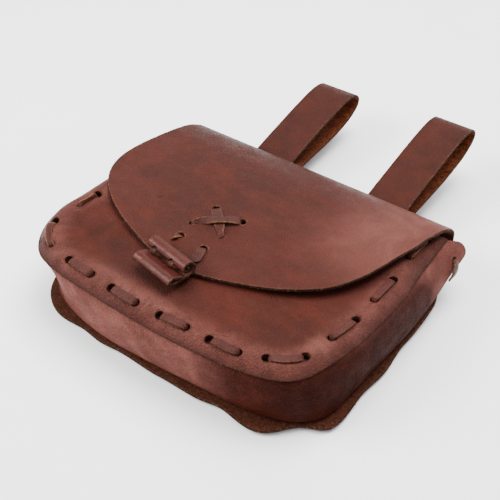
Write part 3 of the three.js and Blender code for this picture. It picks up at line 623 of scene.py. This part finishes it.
def leather(name, deep, middle, red, pale, gloss=0.5, grain=1.0, sheen=0.11, flecks=0.9,
            suede_light=srgb(98, 56, 39)):
    n = Nodes(name)
    at = n.put("ShaderNodeTexCoord", 3)
    edge, flesh, tone, crease, crinkle, raw, s, t = (n.value(k) for k in KEYS)
    run = n.put("ShaderNodeCombineXYZ", inputs={0: s, 1: t})
    # grain side
    colour, cloud, patch = dyed(n, at, deep, middle, red, pale)
    cracked, folds, strain = strained(n, run, crinkle)
    colour = n.mix(n.times(cracked, 0.36, True), colour, srgb(38, 15, 12))
    pebbles = n.ramp(n.cells(at, 520.0), 0.0, 0.3)
    worked = n.plus(n.times(crinkle, 0.55), 0.45)
    pits = n.times(n.math("SUBTRACT", 1.0, pebbles), worked)
    colour = n.mix(n.times(pits, 0.46 * grain, True), colour, srgb(33, 12, 9))
    # flesh side, then over both: painted sheen where tone is above zero, and below zero a darkening that is
    # painted shade in some places and real dark marks in others
    suede, fibre = flesh_side(n, at, suede_light)
    colour = n.mix(flesh, colour, suede)
    mottle = n.times(n.ramp(patch, 0.34, 0.62, 1.3, 0.8), n.ramp(cloud, 0.3, 0.7, 1.1, 0.85))
    # painted sheen: a pale pinkish colour, mottled, where tone is above zero
    painted_light = n.times(n.ramp(tone, 0.0, 1.0), mottle, True)
    colour = n.mix(painted_light, colour, srgb(112, 67, 60))
    # painted shade where tone is below zero, and the colour of real dark marks
    colour = n.mix(n.ramp(tone, 0.0, -1.0), colour, srgb(30, 9, 6))
    # cut edges, and painted shade in the crevice of a seam
    breaks = n.noise(at, 840.0, 5.0, 0.72, 0.9)
    colour, shown = cut_edge(n, colour, breaks, edge, raw, flecks)
    crease = n.times(crease, n.ramp(breaks, 0.35, 0.7, 0.95, 0.45))
    colour = n.mix(crease, colour, srgb(31, 19, 16))
    # gloss
    rough = n.ramp(n.noise(at, 120.0, 4.0, 0.6), 0.3, 0.7, gloss - 0.06, gloss + 0.08)
    rough = n.plus(rough, n.times(flesh, 0.4))
    rough = n.plus(rough, n.times(cracked, 0.15))
    rough = n.plus(rough, n.times(shown, 0.25), True)
    # relief
    pores = n.ramp(n.cells(at, 1100.0), 0.0, 0.12)
    tooth = n.noise(at, 1900.0, 2.0, 0.6)
    height = n.plus(n.times(pores, 0.1 * grain), n.times(tooth, 0.1 * grain))
    height = n.math("SUBTRACT", height, n.times(pits, 0.55 * grain))
    height = n.plus(height, n.times(n.noise(at, 260.0, 3.0, 0.6), 0.2 * grain))
    height = n.math("SUBTRACT", height, n.times(cracked, 0.3))
    height = n.plus(height, n.times(folds, n.times(strain, 0.6)))
    height = n.plus(height, n.times(fibre, n.times(flesh, 0.8)))
    height = n.plus(height, n.times(breaks, n.times(shown, 0.5)))
    bump = n.put("ShaderNodeBump", 0, inputs={"Height": height, "Distance": 0.001, "Strength": 0.95})
    return n.surface({
        "Base Color": colour, "Roughness": rough, "Normal": bump, "Metallic": 0.0,
        "Specular IOR Level": sheen, "Specular Tint": (1.0, 0.74, 0.69, 1.0)})


HIDE_COLOURS = srgb(49, 20, 14), srgb(64, 27, 20), srgb(75, 29, 18), srgb(84, 48, 39)
BODY = leather("body_leather", *HIDE_COLOURS, gloss=0.46)
WALL = leather("wall_leather", *HIDE_COLOURS, gloss=0.5, sheen=0.02)
LOOP = leather("loop_leather", srgb(45, 19, 13), srgb(58, 25, 18), srgb(68, 26, 16), srgb(77, 42, 34),
               gloss=0.46, suede_light=srgb(117, 60, 33))
LACING = leather("lacing_thong", srgb(56, 28, 24), srgb(67, 32, 28), srgb(71, 31, 26), srgb(86, 55, 49),
                 gloss=0.38, grain=0.7, sheen=0.16, flecks=0.25)
ROLLED = leather("toggle_leather", srgb(53, 18, 14), srgb(66, 26, 18), srgb(71, 26, 17), srgb(86, 46, 36),
                 gloss=0.3, grain=0.12, sheen=0.22, flecks=0.8)


# ---- Camera, light and floor ----
AZIMUTH, ELEVATION, ROLL_ANGLE = 36.9, 41.1, -0.91  # degrees, as the photo was taken
VIEW_TARGET, VIEW_DISTANCE = (0.96, 106.43, 25.0), 689.9
SENSOR, LENS = 36.0, 72.4752  # mm


def place_camera():
    az, el, roll = (math.radians(a) for a in (AZIMUTH, ELEVATION, ROLL_ANGLE))
    back = np.array([math.sin(az) * math.cos(el), -math.cos(az) * math.cos(el), math.sin(el)])
    right = np.array([math.cos(az), math.sin(az), 0.0])
    up = np.cross(back, right)
    turned_right = math.cos(roll) * right + math.sin(roll) * up
    turned_up = -math.sin(roll) * right + math.cos(roll) * up
    data = bpy.data.cameras.new("camera")
    data.sensor_width, data.lens = SENSOR, LENS
    data.clip_start, data.clip_end = 0.01, 50.0
    camera = added("camera", data)
    place = (np.array(VIEW_TARGET) + OFFSET + back * VIEW_DISTANCE) / 1000
    columns = np.stack([turned_right, turned_up, back, place], -1)
    camera.matrix_world = Matrix([*columns.tolist(), [0, 0, 0, 1]])
    bpy.context.scene.camera = camera


def area_light(name, place, aim, size, power, colour=(1, 1, 1)):
    data = bpy.data.lights.new(name, "AREA")
    data.shape, data.energy, data.color = "RECTANGLE", power, colour
    data.size, data.size_y = size
    lamp = added(name, data)
    lamp.location = place
    lamp.rotation_mode = "QUATERNION"
    lamp.rotation_quaternion = (Vector(aim) - Vector(place)).to_track_quat("-Z", "Y")


def stage():
    n = Nodes("paper")
    at = n.put("ShaderNodeTexCoord", 3)
    tint = n.mix(n.ramp(n.noise(at, 9.0, 3.0), 0.3, 0.7), (0.95, 0.95, 0.95, 1), (0.98, 0.98, 0.98, 1))
    mesh = bpy.data.meshes.new("floor")
    reach = 6.0
    corners = [(-reach, -reach, 0), (reach, -reach, 0), (reach, reach, 0), (-reach, reach, 0)]
    mesh.from_pydata(corners, [], [(0, 1, 2, 3)])
    mesh.materials.append(n.surface({"Base Color": tint, "Roughness": 0.9}))
    floor = added("floor", mesh)
    floor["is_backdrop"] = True
    world = bpy.data.worlds.new("studio")
    world.use_nodes = True
    world.node_tree.nodes["Background"].inputs[0].default_value = (1, 1, 1, 1)
    world.node_tree.nodes["Background"].inputs[1].default_value = 1.0
    bpy.context.scene.world = world
    area_light("key", (-0.85, -0.75, 0.85), (0, -0.02, 0.03), (0.7, 0.7), 33.0, (1, 0.99, 0.98))
    area_light("top", (0.15, 0.35, 1.3), (0, 0, 0.03), (0.9, 0.9), 42.0)
    area_light("back", (-0.32, 0.66, 0.78), (0.1, 0, 0.05), (0.5, 0.4), 2.0)


# ---- Front panel ----
def bulge(points, normal, spots, depth, reach):
    """Pulls a surface in round each spot."""
    for spot in spots:
        near = np.linalg.norm(points - spot, axis=-1)
        points = points - normal * (depth * np.exp(-((near / reach) ** 2)))[..., None]
    return points


def front_locate(u):
    inset = graph(LACE_PATH, u)
    return front_face(u, inset), front_normal(u, inset)


def front_punches():
    places = np.array([u for s in FRONT_STITCHES for u in s[:2]])
    radii = [q for s in FRONT_STITCHES for q in s[6:8]]
    return [(p, n, q, PUNCH_SEAM) for p, n, q in zip(*front_locate(places), radii)]


def front_panel():
    columns, mouth = 420, 90
    depths = np.concatenate([[0, 0.6, 1.3, 2.2], np.arange(3.2, 30, 1.0), np.arange(30, 56, 3.0)])
    us = np.linspace(0, 1, columns)
    sides = front_face(us[:, None], depths[None, :])
    left, right = front_face(0.0, 0.0), front_face(1.0, 0.0)
    f = np.linspace(0, 1, mouth + 2)[1:-1]
    x = right[0] + (left[0] - right[0]) * f
    y = np.full_like(x, MOUTH_Y)
    z = right[2] + (left[2] - right[2]) * f + hump(x, y, DOME)
    way = inward(x, y)
    px = x[:, None] + way[:, None, 0] * depths
    py = y[:, None] + way[:, None, 1] * depths
    pz = z[:, None] + np.minimum(1, depths / 5) + hump(px, py, DOME) - hump(x, y, DOME)[:, None]
    rim = np.concatenate([sides, np.stack([px, py, pz], -1)])
    centre = np.array([-6.0, 92.0, front_face(0.5, 95.0)[2]])
    steps = np.linspace(0, 1, 8)[1:]
    inner = rim[:, -1:] + (centre - rim[:, -1:]) * steps[None, :, None]
    points = np.concatenate([rim, inner], 1)
    punches = front_punches()
    points = bulge(points, grid_normals(points, True), [k[0] for k in punches], 0.6, 4.6)
    d = np.concatenate([depths, np.full(len(steps), 60.0)])
    below = PARED + (HIDE - PARED) * smooth(d, 0, PARE_WIDTH)
    u_all = np.concatenate([us, np.linspace(1, 1.3, mouth)])
    crinkle = 0.3 * (1 - smooth(d, 20, 32)) + 0.7 * bell(d, 9, 10)
    # painted sheen along the bulging band inside the lacing
    painted_light = 0.55 * bell(d, 12, 12)
    # painted shade along the panel's cut edge, in the seam's crevice
    crease = np.exp(-d) * (np.arange(len(u_all)) < columns)[:, None]
    build = shell(points, 0.0, below, wrap=True, radius=0.3,
                  s=share_of(np.clip(u_all, 0, 1))[:, None] * SEAM_LENGTH, t=d,
                  crease=crease, crinkle=crinkle, tone=painted_light)
    return build, punches


# ---- Gusset ----
def gusset_rows(u):
    """Key lines of the gusset's outer face across its width, from the back flange to the front one."""
    s = spline(SEAM, u)
    back_way = inward(s[..., 0], s[..., 1])
    front_way = inward(s[..., 2], s[..., 3])

    def foot(d, lift=0.0):
        p = back_at(s[..., 0] + back_way[..., 0] * d, s[..., 1] + back_way[..., 1] * d, HIDE / 2 + 0.25)
        p[..., 2] += lift
        return p

    def head(d):
        thick = PARED + (HIDE - PARED) * smooth(d, 0, PARE_WIDTH)
        return front_face(u, d) - front_normal(u, d) * (thick + SEAM_GAP)

    out = np.zeros(s.shape[:-1] + (3,))
    out[..., :2] = -front_way
    end = smooth(np.abs(u - 0.5), 0.5 - 0.045, 0.5)
    low, high = foot(0.0), head(0.0)

    ear = bell(u, 1, 0.02)[..., None]

    def wall(up, bow):
        p = low + (high - low) * up + out * (s[..., 5] * bow)[..., None]
        p[..., 1] += 8.0 * end * math.sin(math.pi * up)
        p += ear * bell(up, 0.36, 0.3) * EAR_FLARE
        return p

    bows = ((0.1, 0.35), (0.24, 0.75), (0.42, 1.0), (0.6, 1.0), (0.78, 0.82), (0.9, 0.5), (0.97, 0.2))
    return [foot(21.0), foot(10.5), foot(4.0), foot(1.4, 0.15), foot(0.35, 0.9), *(wall(*k) for k in bows),
            *(head(d) for d in (0.5, 1.6, 3.5, 8.0, 15.0, 21.0))]


def ear_frame(place):
    """A spot on the gusset's wall and its outward normal: place on the seam, row among its key lines."""
    def spot(u, row):
        keys = np.stack(gusset_rows(np.array([u])), 0)[:, 0]
        return spline(keys, row / (len(keys) - 1))

    u, row = place
    n = unit(np.cross(spot(u + 0.002, row) - spot(u - 0.002, row), spot(u, row + 0.1) - spot(u, row - 0.1)))
    return spot(u, row), n if n[0] > 0 else -n


def gusset():
    us = np.linspace(0, 1, 430)
    keys = np.stack(gusset_rows(us), 0)
    counts = [3, 3, 2, 2, 2, 3, 4, 5, 5, 4, 3, 2, 2, 2, 3, 4, 3]
    places = [k + np.arange(c) / c for k, c in enumerate(counts)]
    places = np.concatenate([*places, [len(counts)]]) / len(counts)
    points = np.moveaxis(spline(keys.reshape(len(keys), -1), places).reshape(len(places), len(us), 3), 0, 1)
    key_at = places * len(counts)
    wall = smooth(key_at, 4, 6) * (1 - smooth(key_at, 12, 13))
    arc = travelled(points[len(us) // 2])
    # painted shade where the gusset runs in under the panel's edge
    crease = 0.8 * np.exp(-np.abs(key_at - 12.3) / 0.35)
    share = share_of(us)
    # painted light on the gusset's wall: painted sheen along the bottom and on the ear, painted shade
    # (partly darker dye) in the front corner, and the right wall painted darker at its foot and lighter at
    # its top
    ear = smooth(share, 0.9, 0.97)
    side = smooth(share, 0.68, 0.76) * (1 - ear)
    corner, bottom = -0.5 * bell(share, 0.668, 0.07), 1.3 * bell(share, 0.45, 0.16)
    side = side[:, None] * (0.85 * smooth(key_at, 6.5, 12.8) - 0.38)
    painted_light = (corner + bottom + 1.1 * ear)[:, None] + side
    build = shell(points, 0.0, HIDE, s=share[:, None] * SEAM_LENGTH, t=arc,
                  crease=crease, tone=painted_light * wall, crinkle=0.3 + 0.7 * wall)
    return build, front_punches() + [(*ear_frame(EAR_LACE[0]), *EAR_HOLE)] + rear_punches()


# ---- Hide: back, fold and flap ----
def margin_point(u):
    s = spline(SEAM, u)
    width = eased(MARGIN, share_of(u))
    return s[..., :2] - inward(s[..., 0], s[..., 1]) * width[..., None]


def side_x(y, side):
    """Place across, at y, of a side of the hide."""
    return np.interp(y, side[:, 1], side[:, 0])


def back_rows(share, sides):
    """Rows of points over the back, from its bottom edge to the fold."""
    bottom = margin_point(HEM[0] + (HEM[1] - HEM[0]) * share)

    def level(y):
        left, right = (side_x(y, side) for side in sides)
        return left + (right - left) * share, np.full(len(share), y)

    first = max(side[0, 1] for side in sides) + 6.0
    target = np.stack(level(first), -1)
    steps = np.concatenate([np.linspace(0, 0.3, 14), np.linspace(0.3, 1, 16)[1:]])
    rows = [back_at(*(bottom + (target - bottom) * a).T, 0.0) for a in steps]
    return rows + [back_at(*level(y), 0.0) for y in np.arange(first + 2.0, FOLD[0, 0], 2.2)]


def fold_rows(share, sides):
    """Rows over the fold, which leaves the line of the sides bit by bit."""
    fold = spline(FOLD, np.linspace(0, 1, 44))[1:]
    leaving = smooth(fold[:, 0], 145, 165)
    for column, side in zip((2, 3), sides):
        fold[:, column] = side_x(fold[:, 0], side) * (1 - leaving) + fold[:, column] * leaving
    return [np.stack(np.broadcast_arrays(left + (right - left) * share, y, z), -1)
            for y, z, left, right in fold]


def flap_rows(share, start):
    """Rows over the flap, from the fold's last row to the free edge."""
    start, edge = start[:, :2], spline(FLAP_EDGE, share)
    return [flap_middle(*(start + (edge - start) * a).T) for a in np.linspace(0, 1, 80)[1:]]


def hide():
    share = np.linspace(0, 1, 200)
    sides = [margin_point(np.linspace(place, end, 300)) for place, end in zip(HEM, (0, 1))]
    rows = back_rows(share, sides) + fold_rows(share, sides)
    rows += flap_rows(share, rows[-1])
    points = np.stack(rows, 1)
    arc = travelled(points[len(share) // 2])
    from_blemish = np.linalg.norm(points[..., :2] - BLEMISH, axis=-1)
    on_back = points[..., 2] < 30
    # tone: painted sheen over the flap, stronger towards its right end; the back darker; a real dark pit at
    # BLEMISH
    tone = 0.42 * smooth(points[..., 0], 20, 95) * smooth(points[..., 1], 70, 120) + 0.12
    tone = np.where(on_back, -0.35, tone - 3.0 * bell(from_blemish, 0, 0.85))
    build = shell(points, HIDE / 2, HIDE / 2, grain_below=True, s=points[..., 0], t=arc,
                  crinkle=0.12, tone=tone)
    spots = zip((*CROSS_UNDER, *CROSS_OVER, *TIE_HOLES), FLAP_HOLES)
    punches = [(*flap_frame(*spot), radius, PUNCH_FLAP) for spot, radius in spots]
    punches += rear_punches()
    for _, x, _, _ in LOOPS:
        punches += tie_punches(x)
    return build, punches


# ---- Thongs ----
def strip(knots, steps, thick=THONG, radius=0.35, crown=0.12, raw=0.3, round_ends=()):
    """A flat thong through knots: point, direction across, width. Its edges are rounded."""
    spots = np.array([k[0] for k in knots], float)
    across = unit(np.array([k[1] for k in knots], float))
    widths = np.array([k[2] for k in knots], float)
    length = np.concatenate([[0], np.cumsum(np.sqrt(np.linalg.norm(np.diff(spots, axis=0), axis=1)))])
    place = np.concatenate([np.linspace(length[k], length[k + 1], steps, endpoint=False)
                            for k in range(len(spots) - 1)] + [[length[-1]]])
    table = np.concatenate([spots, across, widths[:, None]], 1)
    value = np.stack([hermite(length, table[:, k], place) for k in range(7)], -1)
    middle, across = value[:, :3], unit(value[:, 3:6])
    tangent = unit(np.gradient(middle, axis=0))
    across = unit(across - tangent * (across * tangent).sum(-1, keepdims=True))
    normal = np.cross(tangent, across)
    run = travelled(middle)
    width = value[:, 6].copy()
    for end in round_ends:
        gap = run if end == 0 else run[-1] - run
        r = width / 2
        width *= np.sqrt(np.clip(1 - np.clip(1 - gap / (0.8 * r), 0, 1) ** 2, 0.06, 1))
    v = np.linspace(-0.5, 0.5, 7)
    lift = crown * (1 - (2 * v) ** 2)
    points = (middle[:, None] + across[:, None] * (width[:, None] * v)[..., None]
              + normal[:, None] * lift[None, :, None])
    raw_at = np.interp(place, length, [k[3] if len(k) > 3 else raw for k in knots])
    return shell(points, thick / 2, thick / 2, radius=radius, s=run[:, None], t=v * 5,
                 crinkle=0.35, raw=raw_at[:, None])


def knot_on(point, n, way, twist, width, *raw):
    """A thong's knot on a face with normal n: it runs along way and is turned by twist degrees."""
    tangent = unit(way - n * (way @ n))
    across = np.cross(n, tangent)
    a = math.radians(twist)
    return (point, across * math.cos(a) + np.cross(tangent, across) * math.sin(a), width, *raw)


def lacing(locate, stitches, depth, arch):
    """Running stitch: up a hole, over the outside, down the next, along the inside."""
    knots = []
    over, under = THONG / 2 + 0.12, -(depth + THONG / 2 + 0.5)
    for k, (u_from, u_to, off_from, off_to, turn, raw) in enumerate(s[:6] for s in stitches):
        a, b = locate(u_from)[0], locate(u_to)[0]
        way = unit(b - a)
        span = np.linalg.norm(b - a)

        def knot(dist, height, width=THONG_WIDTH, twist=0.0):
            f = np.clip(dist / span, 0, 1)
            u = u_from + (u_to - u_from) * f
            face, n = locate(u)
            p = face + way * ((dist - f * span) if not 0 <= dist <= span else 0.0)
            knots.append(knot_on(p + n * height, n, way, twist, width, raw))

        slim = 1 - 0.42 * abs(math.sin(math.radians(turn)))
        knot(off_from - 3.0, under)
        knot(off_from - 0.2, under + 1.2, 4.4)
        knot(off_from, -1.4, 4.2 * slim)
        knot(off_from + 0.9, over - 0.35, 4.9 * slim, turn * 0.6)
        knot(off_from + 2.8, over + 0.1, THONG_WIDTH * slim, turn * 0.8)
        knot(span * 0.35, over + arch, THONG_WIDTH * slim, turn)
        knot(span * 0.65, over + arch, THONG_WIDTH * slim, turn)
        knot(span - off_to - 2.8, over + 0.1, THONG_WIDTH * slim, turn * 0.8)
        knot(span - off_to - 0.9, over - 0.35, 4.9 * slim, turn * 0.6)
        knot(span - off_to, -1.4, 4.2)
        knot(span - off_to + 0.2, under + 1.2, 4.4)
        knot(span - off_to + 3.0, under)
        if k + 1 < len(stitches):
            following = stitches[k + 1][0]
            for f in (0.35, 0.65):
                face, n = locate(u_to + (following - u_to) * f)
                near, _ = locate(u_to + (following - u_to) * (f + 0.05))
                tangent = unit(near - face)
                knots.append((face + n * (under - 0.6), unit(np.cross(n, tangent)), THONG_WIDTH, raw))
    return strip(knots, 6, radius=0.75, crown=0.4)


def rear_holes():
    count, start, end, part = REAR
    step = (end - start) / (count - 1 + part)
    return u_at(np.array([start + (k + f) * step for k in range(count) for f in (0, part)]))


def rear_frame(u):
    """A spot of the rear lacing on the back, and the way out of the back there."""
    s = spline(SEAM, u)
    spot = s[..., :2] + inward(s[..., 0], s[..., 1]) * REAR_INSET
    p = back_at(spot[..., 0], spot[..., 1], -HIDE / 2)
    q = back_at(spot[..., 0], spot[..., 1], HIDE / 2)
    return p, unit(p - q)


def rear_punches():
    return [(p, n, HOLE, PUNCH_SEAM) for p, n in zip(*rear_frame(rear_holes()))]


def flap_strip(start, end, stations, thick=1.2):
    """A thong over the flap between two holes: stations of share along, height, width, shift, turn."""
    a, b = np.array(start), np.array(end)
    way2 = unit(b - a)
    side2 = np.array([-way2[1], way2[0]])
    way = np.array([*way2, 0.0])
    span = np.linalg.norm(b - a)
    knots = []
    for along, height, width, shift, twist in stations:
        spot = a + way2 * along * span + side2 * shift
        knots.append(knot_on(*flap_frame(*spot, height), way, twist, width))
    return strip(knots, 7, thick=thick, radius=0.25, crown=0.05, raw=1.0)


def toggle_axes():
    turn = math.radians(TOGGLE_TURN)
    axis = np.array([math.cos(turn), math.sin(turn), 0.0])
    up = np.array([0.0, 0.0, 1.0])
    across = np.cross(up, axis)
    centre = flap_middle(*np.array(TOGGLE_AT)) + up * (HIDE / 2 + TOGGLE_CLEARANCE)
    return axis, up, across, centre


def toggle_bit(along, raw):
    """The end of the tie where it shows through a hole in the roll's flank."""
    axis, up, across, centre = toggle_axes()
    spots = [(0.6, 0.6, 2.6), (-2.2, 0.7, 3.0), (-3.9, 0.2, 3.6), (-4.6, -0.9, 3.6), (-4.7, -1.8, 3.2)]
    knots = [(centre + axis * along + across * a + up * h, axis, w) for a, h, w in spots]
    return strip(knots, 7, thick=1.1, radius=0.25, raw=raw, round_ends=(1,))


def toggle():
    axis, up, across, centre = toggle_axes()
    line = spline(TOGGLE_LINE, np.linspace(0, 1, 150))
    v = np.linspace(0.5, -0.5, 44)
    t = v * TOGGLE_LENGTH
    points = centre + line[:, None, 0:1] * across + line[:, None, 1:2] * up + t[None, :, None] * axis
    run = travelled(line)
    build = shell(points, ROLL / 2, ROLL / 2, radius=0.35, s=run[:, None], t=t, crinkle=0.15)
    punches = [(centre + axis * along + across * -4.6 + up * 1.2, across - up * 0.15, 2.3, 2.6)
               for along, _ in TOGGLE_BITS]
    return build, punches


def flap_tail(hole, spots, raw, radius=0.3):
    """A thong up a hole of the flap and along spots: x, y, height off the flap, width, turn in degrees."""
    places = [(*hole, -2.6, 3.4, 0), (*hole, -0.7, 3.6, 0), *spots]
    way = unit(np.array([places[-1][0] - hole[0], places[-1][1] - hole[1], 0.0]))
    knots = [knot_on(*flap_frame(*place[:3]), way, place[4], place[3]) for place in places]
    return strip(knots, 8, thick=1.3, radius=radius, raw=raw, round_ends=(1,))


def ear_thong():
    """The rear lacing's end, out of a hole in the gusset's ear and down its wall."""
    spots = [ear_frame(q) for q in EAR_LACE]
    ways = [unit(b[0] - a[0]) for a, b in zip(spots[:-1], spots[1:])]
    frames = [(*spots[0], ways[0])] * 2 + [(*f, w) for f, w in zip(spots, ways + ways[-1:])]
    heights, widths = (-3.2, -1.0, 0.9, 1.7, 1.9, 1.0), (3.6, 3.6, 4.6, 5.6, 5.4, 4.8)
    knots = [(p + n * h, np.cross(n, w), q) for (p, n, w), h, q in zip(frames, heights, widths)]
    return strip(knots, 7, raw=0.8, round_ends=(1,))


# ---- Belt loops ----
def belt_loop(x, lean, lift):
    line = spline(LOOP_LINE, np.linspace(0, 1, 220))
    v = np.linspace(-0.5, 0.5, 30)
    past = np.clip(line[:, 0] - 185, 0, None)
    px = x + v[None, :] * LOOP_WIDTH + (lean * past)[:, None]
    py = np.broadcast_to(line[:, None, 0], px.shape)
    pz = np.broadcast_to((line[:, 1] + (lift - 1) * past)[:, None], px.shape)
    points = np.stack([px, py, pz], -1)
    run = travelled(line)
    build = shell(points, STRAP / 2, STRAP / 2, grain_below=True, s=v * LOOP_WIDTH, t=run[:, None])
    return build, tie_punches(x)


def loop_tie(x):
    """A thong up one hole, over the loop's legs and down the other."""
    inside, outside = -(HIDE + 1.9), 2 * STRAP + 0.9 + 1.6
    (a, n), (b, _) = tie_holes(x)
    way = unit(b - a)
    across = np.cross(n, way)
    climb = ((-5.0, inside, 5.4), (0.0, inside + 1.2, 4.0), (0.0, outside - 1.2, 4.0), (2.6, outside, 5.4))
    knots = [(a + way * along + n * height, across, width) for along, height, width in climb]
    knots += [(b - way * along + n * height, across, width) for along, height, width in reversed(climb)]
    return strip(knots, 6)


# ---- Assembly ----
def make_thong(name, build, node):
    make(name, build, LACING, [node])


place_camera()
stage()

build, punches = hide()
make("hide", build, BODY, ["back_flap"], punches)
build, punches = front_panel()
make("panel", build, BODY, ["front_panel"], punches)
build, punches = gusset()
make("gusset_strip", build, WALL, ["gusset"], punches)
seam_depth = 2 * HIDE + SEAM_GAP
make_thong("front_thong", lacing(front_locate, FRONT_STITCHES, seam_depth, 0.25), "front_lace")
rear = rear_holes()
rear_stitches = [(rear[2 * k], rear[2 * k + 1], 1.0, 1.0, 0, 0.3) for k in range(REAR[0])]
make_thong("rear_thong", lacing(rear_frame, rear_stitches, 2 * HIDE + 0.3, 0.1), "rear_lace")
for name, x, lean, lift in LOOPS:
    build, punches = belt_loop(x, lean, lift)
    make("loop_" + name, build, LOOP, ["belt_loop_" + name], punches)
    make_thong("tie_" + name, loop_tie(x), "loop_tie_" + name)
make_thong("cross_under", flap_strip(*CROSS_UNDER, [
    (-0.02, -2.6, 3.8, 0, 0), (0.0, -0.9, 4.0, 0, 0), (0.05, 0.35, 5.6, 0, 0), (0.13, 0.7, 6.6, 0, 0),
    (0.5, 0.75, 6.8, 0, 0), (0.66, 0.9, 6.2, 0.2, 6), (0.78, 1.3, 5.2, 0.1, 18), (0.88, 1.5, 4.2, -0.2, 30),
    (0.955, 0.6, 3.4, -0.2, 16), (1.0, -0.8, 3.0, 0, 0), (1.02, -2.6, 3.0, 0, 0)]), "cross_strip_under")
make_thong("cross_over", flap_strip(*CROSS_OVER, [
    (-0.02, -2.6, 2.4, 0, 0), (0.0, -0.8, 2.6, 0, 30), (0.05, 0.5, 3.0, 0.2, 55), (0.15, 1.1, 4.2, 0.5, 50),
    (0.28, 1.7, 5.2, 0.4, 26), (0.42, 2.3, 6.4, 0, -4), (0.58, 2.5, 7.2, 0, -10), (0.76, 2.1, 7.4, 0, -10),
    (0.88, 1.4, 7.2, 0, -6), (0.935, 0.6, 6.4, 0, 0), (0.955, -0.6, 5.0, 0, 0),
    (0.965, -2.6, 4.4, 0, 0)]), "cross_strip_over")
build, punches = toggle()
make("toggle_roll", build, ROLLED, ["toggle"], punches)
make_thong("toggle_tie", flap_tail(TIE_HOLES[1], [
    (-2.6, 60.9, 0.5, 4.8, 0), (-2.1, 58.6, 1.0, 6.2, -8), (-1.3, 55, 1.4, 6.8, -12),
    (-0.2, 51.2, 1.3, 6.4, -8), (0.5, 48.6, 1.0, 5.8, 0)], 0.1), "toggle_thong")
make_thong("toggle_tie_end", flap_tail(TIE_HOLES[0], [
    (-23.9, 62.3, 0.5, 3.6, 10), (-24.3, 60.4, 1.0, 4.2, 28), (-24.8, 58.4, 1.3, 4.0, 40),
    (-25.2, 57.0, 1.0, 3.4, 30)], 1.0), "toggle_thong_end")
for k, (along, raw) in enumerate(TOGGLE_BITS):
    make_thong("toggle_bit_%d" % k, toggle_bit(along, raw), "toggle_thong")
make_thong("rear_thong_end", ear_thong(), "rear_lace")

lo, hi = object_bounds()
for label, (a, b) in (("packed", (cad_lo, cad_hi)), ("shown", (lo, hi))):
    print(label, "size in mm", [round((q - p) * 1000, 1) for p, q in zip(a, b)])
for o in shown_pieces():
    print(o.name, sum(len(p.vertices) - 2 for p in o.data.polygons))
